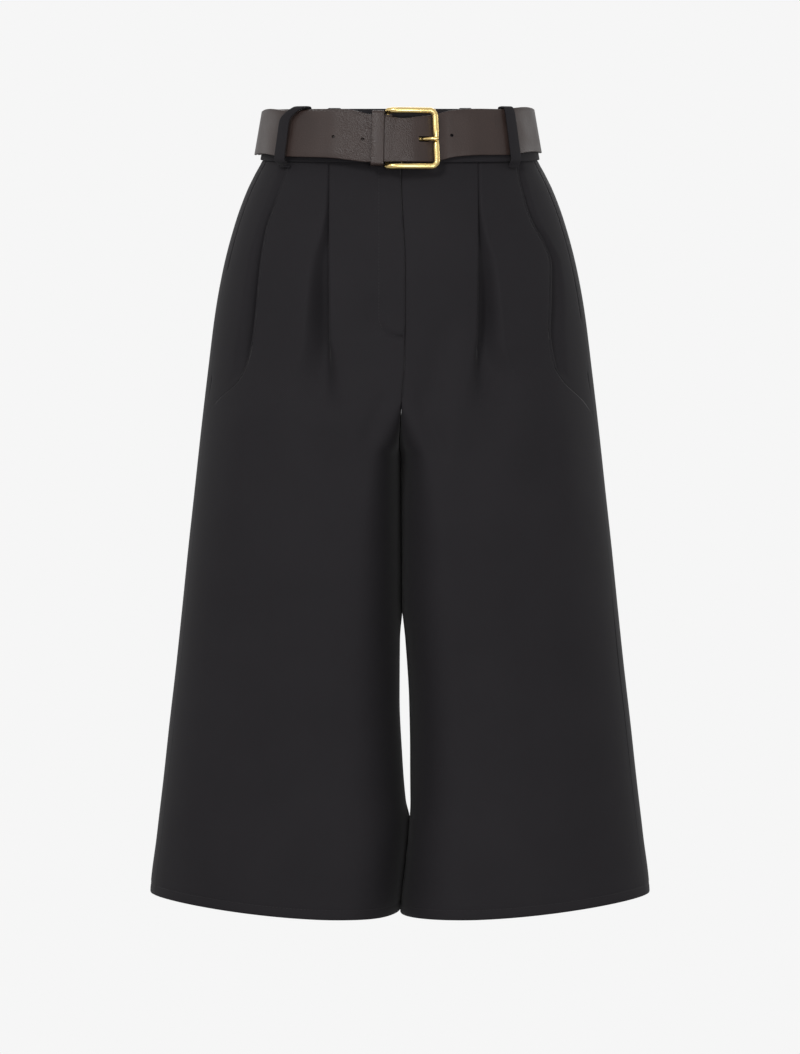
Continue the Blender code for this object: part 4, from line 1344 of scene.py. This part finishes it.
def belt_level(x, y, layer):
    """The height of the belt's middle line above or below the band's own middle line."""
    front = read_table(LEVELS, layer, x) - waist_tilt(y, 0.0)
    back = BACK_LEVEL - waist_tilt(y, 0.0)
    return front + (back - front) * ease((y - BACK_FROM) / BACK_REACH)


print("strap", STRAP_WIDE, "x", STRAP_THICK, "mm")

# %% [markdown]
# The strap is swept along that way: by x over the front, where the tables are read, and by angle
# round the sides and the back. Inside the buckle the free end's upper edge rolls back and down.

# %% Strap
FOLD_END_X = -62.0
RIGHT_X = -100.0
RIGHT_ROUND_X = -103.0
LEFT_X = 76.0
LEFT_ROUND_X = 79.0
SIDE_X = -130.0
TIP_LONG = 16.0
TIP_POWER = 2.6
TIP_LEAST = 0.12
ROLL_X = 3.0
ROLL_REACH = 17.0
ROLL_DROP = 3.2
ROLL_BACK = 1.5


def strap_section(angle, out, layer, narrow=1.0, facing=1.0):
    """The strap's rounded section at a place on its way; facing -1 turns its outer face inward."""
    probe = ring_point(angle, 0.0, BAND_FACE + out)
    middle = belt_level(probe[0], probe[1], layer)
    roll = np.exp(-(((probe[0] - ROLL_X) / ROLL_REACH) ** 2)) * (layer == "free") * (probe[1] < 0)
    points = []
    for thick, tall in STRAP_OUTLINE:
        here = roll * ease(tall / (0.5 * STRAP_WIDE))
        z = middle + tall * narrow - ROLL_DROP * here
        points.append(ring_point(angle, z, BAND_FACE + out + facing * thick - ROLL_BACK * here))
    return points


def strap_rings():
    """The strap from its folded end, round the buckle's bar and the waist, to its free tip."""
    rings = []
    for x in np.linspace(FOLD_END_X, PIVOT_X, 22)[:-1]:
        out = read_table(FOLDED_END, "out", x)
        rings.append(strap_section(angle_off(x, out), out, "main", facing=-1.0))
    turn_radius = read_table(MAIN_LAYER, "out", PIVOT_X) - PIVOT_OUT
    level = read_table(LEVELS, "main", PIVOT_X)
    for part in np.linspace(0.0, np.pi, 15):
        ring = []
        for thick, tall in STRAP_OUTLINE:
            reach = turn_radius + thick
            x = PIVOT_X + reach * np.sin(part)
            out = PIVOT_OUT - reach * np.cos(part)
            ring.append(band_place(x, out, level + tall))
        rings.append(ring)
    for x in np.linspace(PIVOT_X, RIGHT_X, 44)[1:]:
        out = read_table(MAIN_LAYER, "out", x)
        rings.append(strap_section(angle_off(x, out), out, "main"))
    out = read_table(MAIN_LAYER, "out", SIDE_X)
    left = angle_off(LEFT_ROUND_X, out) - 2 * np.pi
    for angle in np.linspace(angle_off(RIGHT_ROUND_X, out), left, 190):
        rings.append(strap_section(angle, out, "main"))
    for x in np.linspace(LEFT_X, RIGHT_X, 96):
        out = read_table(FREE_END, "out", x)
        rings.append(strap_section(angle_off(x, out) - 2 * np.pi, out, "free"))
    out = read_table(FREE_END, "out", SIDE_X)
    last = angle_off(RIGHT_ROUND_X, out) - 2 * np.pi
    for angle in np.linspace(last, last - FREE_TURN, 40):
        rings.append(strap_section(angle, out, "free"))
    radius = np.linalg.norm(ring_point(last - FREE_TURN, 0.0, BAND_FACE + out)[:2])
    for part in np.sin(np.linspace(0.0, np.pi / 2, 12))[1:]:
        angle = last - FREE_TURN - part * TIP_LONG / radius
        narrow = max(np.sqrt(1.0 - part**TIP_POWER), TIP_LEAST)
        rings.append(strap_section(angle, out, "free", narrow=narrow))
    return rings


# %% [markdown]
# The strap is not quite flat where it has been worn. It has a soft crease beside the buckle, and it
# bows a little between the places that hold it. Only its outer face shows this, so only that face
# is moved.

# %% Worn places of the strap
Worn = namedtuple("Worn", "x slant width depth")
WORN_PLACES = (
    Worn(-5.0, 0.16, 2.4, 0.4),
    Worn(8.0, -0.05, 6.0, -0.2),
    Worn(-30.0, 0.04, 3.0, 0.28),
    Worn(-47.0, 0.0, 7.0, -0.35),
    Worn(-66.0, 0.06, 6.0, 0.35),
    Worn(40.0, -0.04, 3.5, 0.3),
    Worn(63.0, 0.03, 9.0, -0.3),
    Worn(84.0, 0.05, 6.0, 0.3),
)


def worn_depth(x, tall):
    """How deep the strap's outer face is pressed in at this x and height."""
    depth = 0.0
    for row in WORN_PLACES:
        depth += row.depth * np.exp(-(((x - row.x - row.slant * tall) / row.width) ** 2))
    return depth


def worn_ring(ring):
    """The ring with its outer face moved by the worn places."""
    moved = []
    for point, (thick, tall) in zip(ring, STRAP_OUTLINE):
        share = ease((thick / STRAP_THICK + 0.5) * 1.2 - 0.2)
        moved.append(point + np.array([0.0, worn_depth(point[0], tall) * share, 0.0]))
    return moved


# %% [markdown]
# The holes are punched clean through the free layer, 2.9 mm wide and about 26 mm apart. The one the
# prong uses is drawn out to a longer slit, and the fold has a slot in which the prong turns. All
# are cut with one `Boolean`, whose punches are then removed.

# %% Cutting the strap
Punch = namedtuple("Punch", "x z")
PUNCHES = (
    Punch(45.6, -8.6),
    Punch(-32.8, -12.4),
    Punch(-58.6, -10.3),
)
PUNCH_RADIUS = 1.45
PUNCH_NEAR = -0.9
PUNCH_FAR = 1.5
SLOT_X = (-19.0, 2.0)
SLOT_OUT = (-2.0, 12.1)
SLOT_TALL = 7.5
HOLE_X = (16.6, 25.6)
HOLE_OUT = (6.0, 16.0)
HOLE_TALL = 4.6


def box_cutter(mesh, x_range, out_range, tall):
    """Adds a box in the waist ring's own directions."""
    corners = []
    for x in x_range:
        for out in out_range:
            for z in (-tall / 2, tall / 2):
                corners.append(mesh.verts.new(band_place(x, out, PRONG_LEVEL + z) * MM))
    bmesh.ops.convex_hull(mesh, input=corners)


def punch_cutter(mesh, x, z):
    """Adds a round punch that goes through the free layer only."""
    out = read_table(FREE_END, "out", x)
    place_near = Vector(band_place(x, out + STRAP_THICK * PUNCH_NEAR, z) * MM)
    place_far = Vector(band_place(x, out + STRAP_THICK * PUNCH_FAR, z) * MM)
    along = place_far - place_near
    turn = along.to_track_quat("Z", "Y").to_matrix().to_4x4()
    bmesh.ops.create_cone(
        mesh,
        cap_ends=True,
        segments=20,
        radius1=PUNCH_RADIUS * MM,
        radius2=PUNCH_RADIUS * MM,
        depth=along.length,
        matrix=Matrix.Translation((place_near + place_far) / 2) @ turn,
    )


def cut_with(piece, cutter_mesh):
    """Cuts the piece with a bmesh of closed shapes and keeps the result as its mesh."""
    bmesh.ops.recalc_face_normals(cutter_mesh, faces=cutter_mesh.faces)
    data = bpy.data.meshes.new("cutter")
    cutter_mesh.to_mesh(data)
    cutter_mesh.free()
    cutter = bpy.data.objects.new("cutter", data)
    bpy.context.scene.collection.objects.link(cutter)
    cut = piece.modifiers.new("cut", "BOOLEAN")
    cut.operation = "DIFFERENCE"
    cut.solver = "EXACT"
    cut.object = cutter
    graph = bpy.context.evaluated_depsgraph_get()
    result = bpy.data.meshes.new_from_object(piece.evaluated_get(graph))
    piece.modifiers.clear()
    piece.data = result
    bpy.data.objects.remove(cutter, do_unlink=True)


def belt_strap():
    """The whole strap, worn and cut."""
    rings = [worn_ring(ring) for ring in strap_rings()]
    strap = sweep("belt_strap_leather", rings, leather)
    cutters = bmesh.new()
    box_cutter(cutters, SLOT_X, SLOT_OUT, SLOT_TALL)
    box_cutter(cutters, HOLE_X, HOLE_OUT, HOLE_TALL)
    for row in PUNCHES:
        punch_cutter(cutters, row.x, row.z)
    cut_with(strap, cutters)
    return strap


strap = dress(belt_strap(), "belt_strap")
print("strap:", len(strap.data.vertices), "points")

# %% [markdown]
# ## Keeper, buckle and prong
#
# The keeper is a band of smoother leather round both layers. The buckle is one bent rod: its right
# bar carries the prong's tip, its long bars curve back at the left, and the thin pivot bar runs
# inside the strap's fold. A curve through the rod's marked places gives its path.


# %% Smooth paths
def smooth_path(points, steps, closed_path=False):
    """Points of a Catmull-Rom curve through the given ones; any further numbers are carried along."""
    points = np.array(points, float)
    count = len(points)
    made = []
    for index in range(count if closed_path else count - 1):
        if closed_path:
            near = [points[(index + offset) % count] for offset in (-1, 0, 1, 2)]
        else:
            near = [points[min(max(index + offset, 0), count - 1)] for offset in (-1, 0, 1, 2)]
        for part in np.linspace(0.0, 1.0, steps, endpoint=False):
            a = 2 * near[1]
            b = (near[2] - near[0]) * part
            c = (2 * near[0] - 5 * near[1] + 4 * near[2] - near[3]) * part**2
            d = (3 * near[1] - near[0] - 3 * near[2] + near[3]) * part**3
            made.append(0.5 * (a + b + c + d))
    if not closed_path:
        made.append(points[-1])
    return np.array(made)


def tube_rings(path, radii, sides, closed_path, reference):
    """Rings of points round a path, each in the plane across the path."""
    rings = []
    count = len(path)
    for index in range(count):
        after = (index + 1) % count if closed_path else min(index + 1, count - 1)
        before = index - 1 if closed_path else max(index - 1, 0)
        along = path[after] - path[before]
        along /= np.linalg.norm(along)
        side = np.cross(along, reference)
        side /= np.linalg.norm(side)
        other = np.cross(side, along)
        turns = np.linspace(0, 2 * np.pi, sides, endpoint=False)
        rings.append([path[index] + radii[index] * (np.cos(t) * side + np.sin(t) * other) for t in turns])
    return rings


# %% Keeper
KEEPER_THICK = 1.5
KEEPER_WIDE = 11.0
KEEPER_X = -19.6
KEEPER_HALF = STRAP_WIDE / 2 + 2.5
KEEPER_INNER_OUT = 1.6
KEEPER_OUTER_OUT = 16.2
KEEPER_CORNER = 2.2
KEEPER_LEVEL = BUCKLE_LEVEL + 0.1
KEEPER_EDGE = 0.55


def belt_keeper():
    """A leather loop round all the strap's layers, just beside the buckle."""
    high = KEEPER_HALF - KEEPER_CORNER
    near = KEEPER_INNER_OUT + KEEPER_CORNER
    far = KEEPER_OUTER_OUT - KEEPER_CORNER
    corners = ((high, far), (high, near), (-high, near), (-high, far))
    section = rounded_box(KEEPER_WIDE / 2, KEEPER_THICK / 2, KEEPER_EDGE, 3, 0)
    rings = []
    for index, (centre_z, centre_out) in enumerate(corners):
        for part in np.linspace(0, np.pi / 2, 9):
            turn = part + index * np.pi / 2
            ring = []
            for x_add, thick_add in section:
                reach = KEEPER_CORNER + thick_add
                z = KEEPER_LEVEL + centre_z + reach * np.sin(turn)
                out = centre_out + reach * np.cos(turn)
                ring.append(band_place(KEEPER_X + x_add, out, z))
            rings.append(ring)
    return sweep("belt_keeper_leather", rings, leather, closed_path=True)


dress(belt_keeper(), "belt_keeper")
print("keeper", KEEPER_WIDE, "mm wide")

# %% Buckle frame
BAR_RADIUS = 2.7
RIGHT_BAR_X = 31.6
RIGHT_BAR_OUT = 9.6
FRAME_HALF = 25.9 - BAR_RADIUS
FRAME_CORNER = 5.0
SEAT_REACH = 6.0
SEAT_PINCH = 0.35
BarPoint = namedtuple("BarPoint", "x out inset radius")
LONG_BAR = (
    BarPoint(18.0, 10.6, 0.0, BAR_RADIUS),
    BarPoint(8.0, 11.6, 0.0, BAR_RADIUS),
    BarPoint(-2.0, 12.0, 0.0, BAR_RADIUS),
    BarPoint(-7.0, 11.4, 0.0, BAR_RADIUS),
    BarPoint(PIVOT_X + 0.4, 9.4, 0.2, 2.5),
    BarPoint(PIVOT_X, 7.9, 1.4, 2.1),
    BarPoint(PIVOT_X, PIVOT_OUT, 3.2, PIVOT_RADIUS),
    BarPoint(PIVOT_X, PIVOT_OUT, 15.2, PIVOT_RADIUS),
)


def half_frame(sign):
    """Points (x, out, z, radius) of the upper or lower half, from the right bar to the pivot bar."""
    points = [(RIGHT_BAR_X, RIGHT_BAR_OUT, sign * SEAT_REACH, BAR_RADIUS)]
    for part in np.linspace(0, np.pi / 2, 6):
        x = RIGHT_BAR_X - FRAME_CORNER * (1 - np.cos(part))
        z = FRAME_HALF - FRAME_CORNER * (1 - np.sin(part))
        points.append((x, RIGHT_BAR_OUT, sign * z, BAR_RADIUS))
    for row in LONG_BAR:
        points.append((row.x, row.out, sign * (FRAME_HALF - row.inset), row.radius))
    return points


def buckle_frame():
    """The bent rod, pinched a little where the prong's tip is seated."""
    seat = (RIGHT_BAR_X, RIGHT_BAR_OUT - 2 * SEAT_PINCH, 0.0, BAR_RADIUS - SEAT_PINCH)
    pivot = (PIVOT_X, PIVOT_OUT, 0.0, PIVOT_RADIUS)
    marked = [seat] + half_frame(1) + [pivot] + half_frame(-1)[::-1]
    marked = [(*band_place(x, out, BUCKLE_LEVEL + z), radius) for x, out, z, radius in marked]
    line = smooth_path(marked, 5, closed_path=True)
    rings = tube_rings(line[:, :3], line[:, 3], 22, True, np.array([0.0, 1.0, 0.0]))
    return sweep("buckle_frame_brass", rings, brass, closed_path=True)


dress(buckle_frame(), "buckle_frame")
print("buckle", 2 * (FRAME_HALF + BAR_RADIUS), "mm high")

# %% Prong
PRONG_RADIUS = 1.6
PRONG_LINE = (
    Stand(PIVOT_X, PIVOT_OUT - PIVOT_RADIUS - PRONG_RADIUS - 0.4),
    Stand(-4.0, 5.6),
    Stand(4.0, 6.8),
    Stand(12.0, 7.0),
    Stand(18.0, 7.4),
    Stand(22.0, 9.7),
    Stand(26.0, 12.5),
    Stand(29.5, 13.9),
    Stand(RIGHT_BAR_X + 1.0, 13.9),
)
TIP_ROUND = (0.98, 0.9, 0.76, 0.55, 0.3)
TIP_SHARE = 0.28


def buckle_prong():
    """The prong, from under the pivot bar, through the strap's hole, to its round tip."""
    line = smooth_path([band_place(row.x, row.out, PRONG_LEVEL) for row in PRONG_LINE], 5)
    radii = [PRONG_RADIUS] * len(line)
    step = line[-1] - line[-2]
    step /= np.linalg.norm(step)
    for share in TIP_ROUND:
        line = np.concatenate([line, [line[-1] + step * TIP_SHARE]])
        radii.append(PRONG_RADIUS * share)
    rings = tube_rings(line, radii, 16, False, np.array([0.0, 0.0, 1.0]))
    return sweep("buckle_prong_brass", rings, brass)


dress(buckle_prong(), "buckle_prong")
print("prong", 2 * PRONG_RADIUS, "mm thick")

# %% [markdown]
# ## Belt loops
#
# Five strips of suiting, 10 mm wide. Each is sewn inside the band's top edge, comes over it and down
# over the belt, and is sewn again under the band. The front one on the wearer's right leans outward
# at its foot, as it does in the photo.

# %% Loops
BeltLoop = namedtuple("BeltLoop", "name top foot reach bend")
BELT_LOOPS = (
    BeltLoop("loop_front_right", angle_at(-86), angle_at(-95.5), 10.2, 13.0),
    BeltLoop("loop_front_left", angle_at(94.5), angle_at(94.5), 6.0, 45.0),
    BeltLoop("loop_back_right", np.radians(-142), np.radians(-142), 8.2, 45.0),
    BeltLoop("loop_back_left", np.radians(142), np.radians(142), 5.4, 45.0),
    BeltLoop("loop_back_centre", np.radians(180), np.radians(180), 5.4, 45.0),
)
LOOP_WIDE = 10.0
LOOP_THICK = 1.6
LOOP_EDGE = 0.6
LOOP_STRAIGHT = 18


def belt_loop(row):
    """A loop, from inside the band, over its edge and the belt, to its foot under the band."""
    inside = -BAND_CLOTH - 0.6 - LOOP_THICK / 2
    marked = (
        (BAND_HALF - 7, inside),
        (BAND_HALF - 1, inside),
        (BAND_HALF + 0.9, inside + 0.7),
        (BAND_HALF + 1.5, -BAND_CLOTH / 2),
        (BAND_HALF + 1.7, row.reach * 0.45),
        (BAND_HALF + 0.8, row.reach * 0.84),
        (BAND_HALF - 3.0, row.reach),
        (BAND_HALF - 12, row.reach + 0.3),
        (-6, row.reach + 0.3),
        (-BAND_HALF + 3.0, row.reach),
        (-BAND_HALF - 0.6, row.reach * 0.66),
        (-BAND_HALF - 2.6, 1.9),
        (-BAND_HALF - 4.6, 0.3),
    )
    line = smooth_path(marked, 5)
    along = np.gradient(line, axis=0)
    along /= np.linalg.norm(along, axis=1, keepdims=True)
    section = rounded_box(LOOP_WIDE / 2, LOOP_THICK / 2, LOOP_EDGE, 3, 0)
    rings = []
    for index, (z, out) in enumerate(line):
        lower = np.clip((BAND_HALF + 1.8 - z) / row.bend, 0.0, 1.0)
        part = np.sin(lower * np.pi / 2) if index > LOOP_STRAIGHT else 0.0
        angle = row.top + (row.foot - row.top) * part
        radius = np.linalg.norm(ring_point(angle, 0, BAND_FACE)[:2])
        ring = []
        for across, thick in section:
            height = z + along[index, 1] * thick
            reach = BAND_FACE + out - along[index, 0] * thick
            ring.append(ring_point(angle + across / radius, height, reach))
        rings.append(ring)
    return sweep(row.name + "_cloth", rings, cloth)


for row in BELT_LOOPS:
    strip = dress(belt_loop(row), row.name)
print(len(BELT_LOOPS), "loops made")

# %% [markdown]
# ## Stitches
#
# Lockstitches of black thread, 2.5 mm long: the fly's J, and the hem's line above its edge. A stitch
# is a small, long bead half sunk in its groove.

# %% Stitches
STITCH_STEP = 3.1
STITCH_LONG = 2.5
THREAD_RADIUS = 0.19
THREAD_SUNK = 0.05
HEM_SUNK = 0.02
FLY_LINE_END = 1.92
SEAM_CLEAR = 1.2


def add_stitches(mesh, path):
    """Adds beads, one after another, along a path of points (mm)."""
    path = np.array(path)
    lengths = np.concatenate([[0.0], np.cumsum(np.linalg.norm(np.diff(path, axis=0), axis=1))])
    for start in np.arange(0.5 * STITCH_STEP, lengths[-1] - STITCH_LONG, STITCH_STEP):
        ends = [
            np.array([np.interp(at, lengths, path[:, axis]) for axis in range(3)])
            for at in (start, start + STITCH_LONG)
        ]
        middle = 0.5 * (ends[0] + ends[1])
        along = Vector(ends[1] - ends[0])
        turn = along.to_track_quat("X", "Z").to_matrix().to_4x4()
        size = Matrix.Diagonal((STITCH_LONG / 2 * MM, THREAD_RADIUS * MM, THREAD_RADIUS * MM, 1.0))
        matrix = Matrix.Translation(Vector(middle) * MM) @ turn @ size
        bmesh.ops.create_uvsphere(mesh, u_segments=6, v_segments=4, radius=1.0, matrix=matrix)


def stitched_piece(name, paths):
    """All the stitches of some seams as one piece."""
    mesh = bmesh.new()
    for path in paths:
        add_stitches(mesh, path)
    for face in mesh.faces:
        face.smooth = True
    bmesh.ops.recalc_face_normals(mesh, faces=mesh.faces)
    piece = finish_piece(name, mesh, thread)
    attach(piece, "root")
    return piece


def fly_path():
    """The fly's J on the outer face of the wearer's right front."""
    parts = np.concatenate([np.linspace(0.0, 1.0, 30), np.linspace(1.0, FLY_LINE_END, 14)[1:]])
    path = []
    for x, z in fly_line(parts):
        curve = Curve(half_section("right", z))
        length = curve.front_length(-x)
        lengths, depths = front_row("right", z, curve)
        depth = np.interp(length, lengths, depths) - CLOTH / 2 + THREAD_SUNK
        point = curve.at([length]) - curve.outward([length]) * depth
        path.append(place("right", point, z)[0])
    return path


def hem_paths(side_name):
    """The hem's line on the front and on the back of one leg."""
    z = HEM + HEM_STITCH
    curve = Curve(half_section(side_name, z))
    seam = curve.front_length(side_seam_at(z))
    stretches = (
        (front_row, SEAM_CLEAR, seam - SEAM_CLEAR),
        (back_row, seam + SEAM_CLEAR, curve.total - SEAM_CLEAR),
    )
    paths = []
    for row_of, start, end in stretches:
        lengths, depths = row_of(side_name, z, curve)
        inside = np.linspace(start, end, 260)
        sunk = np.interp(inside, lengths, depths) + STITCH_DIP - CLOTH / 2 + HEM_SUNK
        points = curve.at(inside) - curve.outward(inside) * sunk[:, None]
        paths.append(place(side_name, points, z))
    return paths


stitched_piece("fly_stitches", [fly_path()])
for side_name in SIDES:
    stitched_piece("hem_stitches_" + side_name, hem_paths(side_name))
print("stitches sewn")
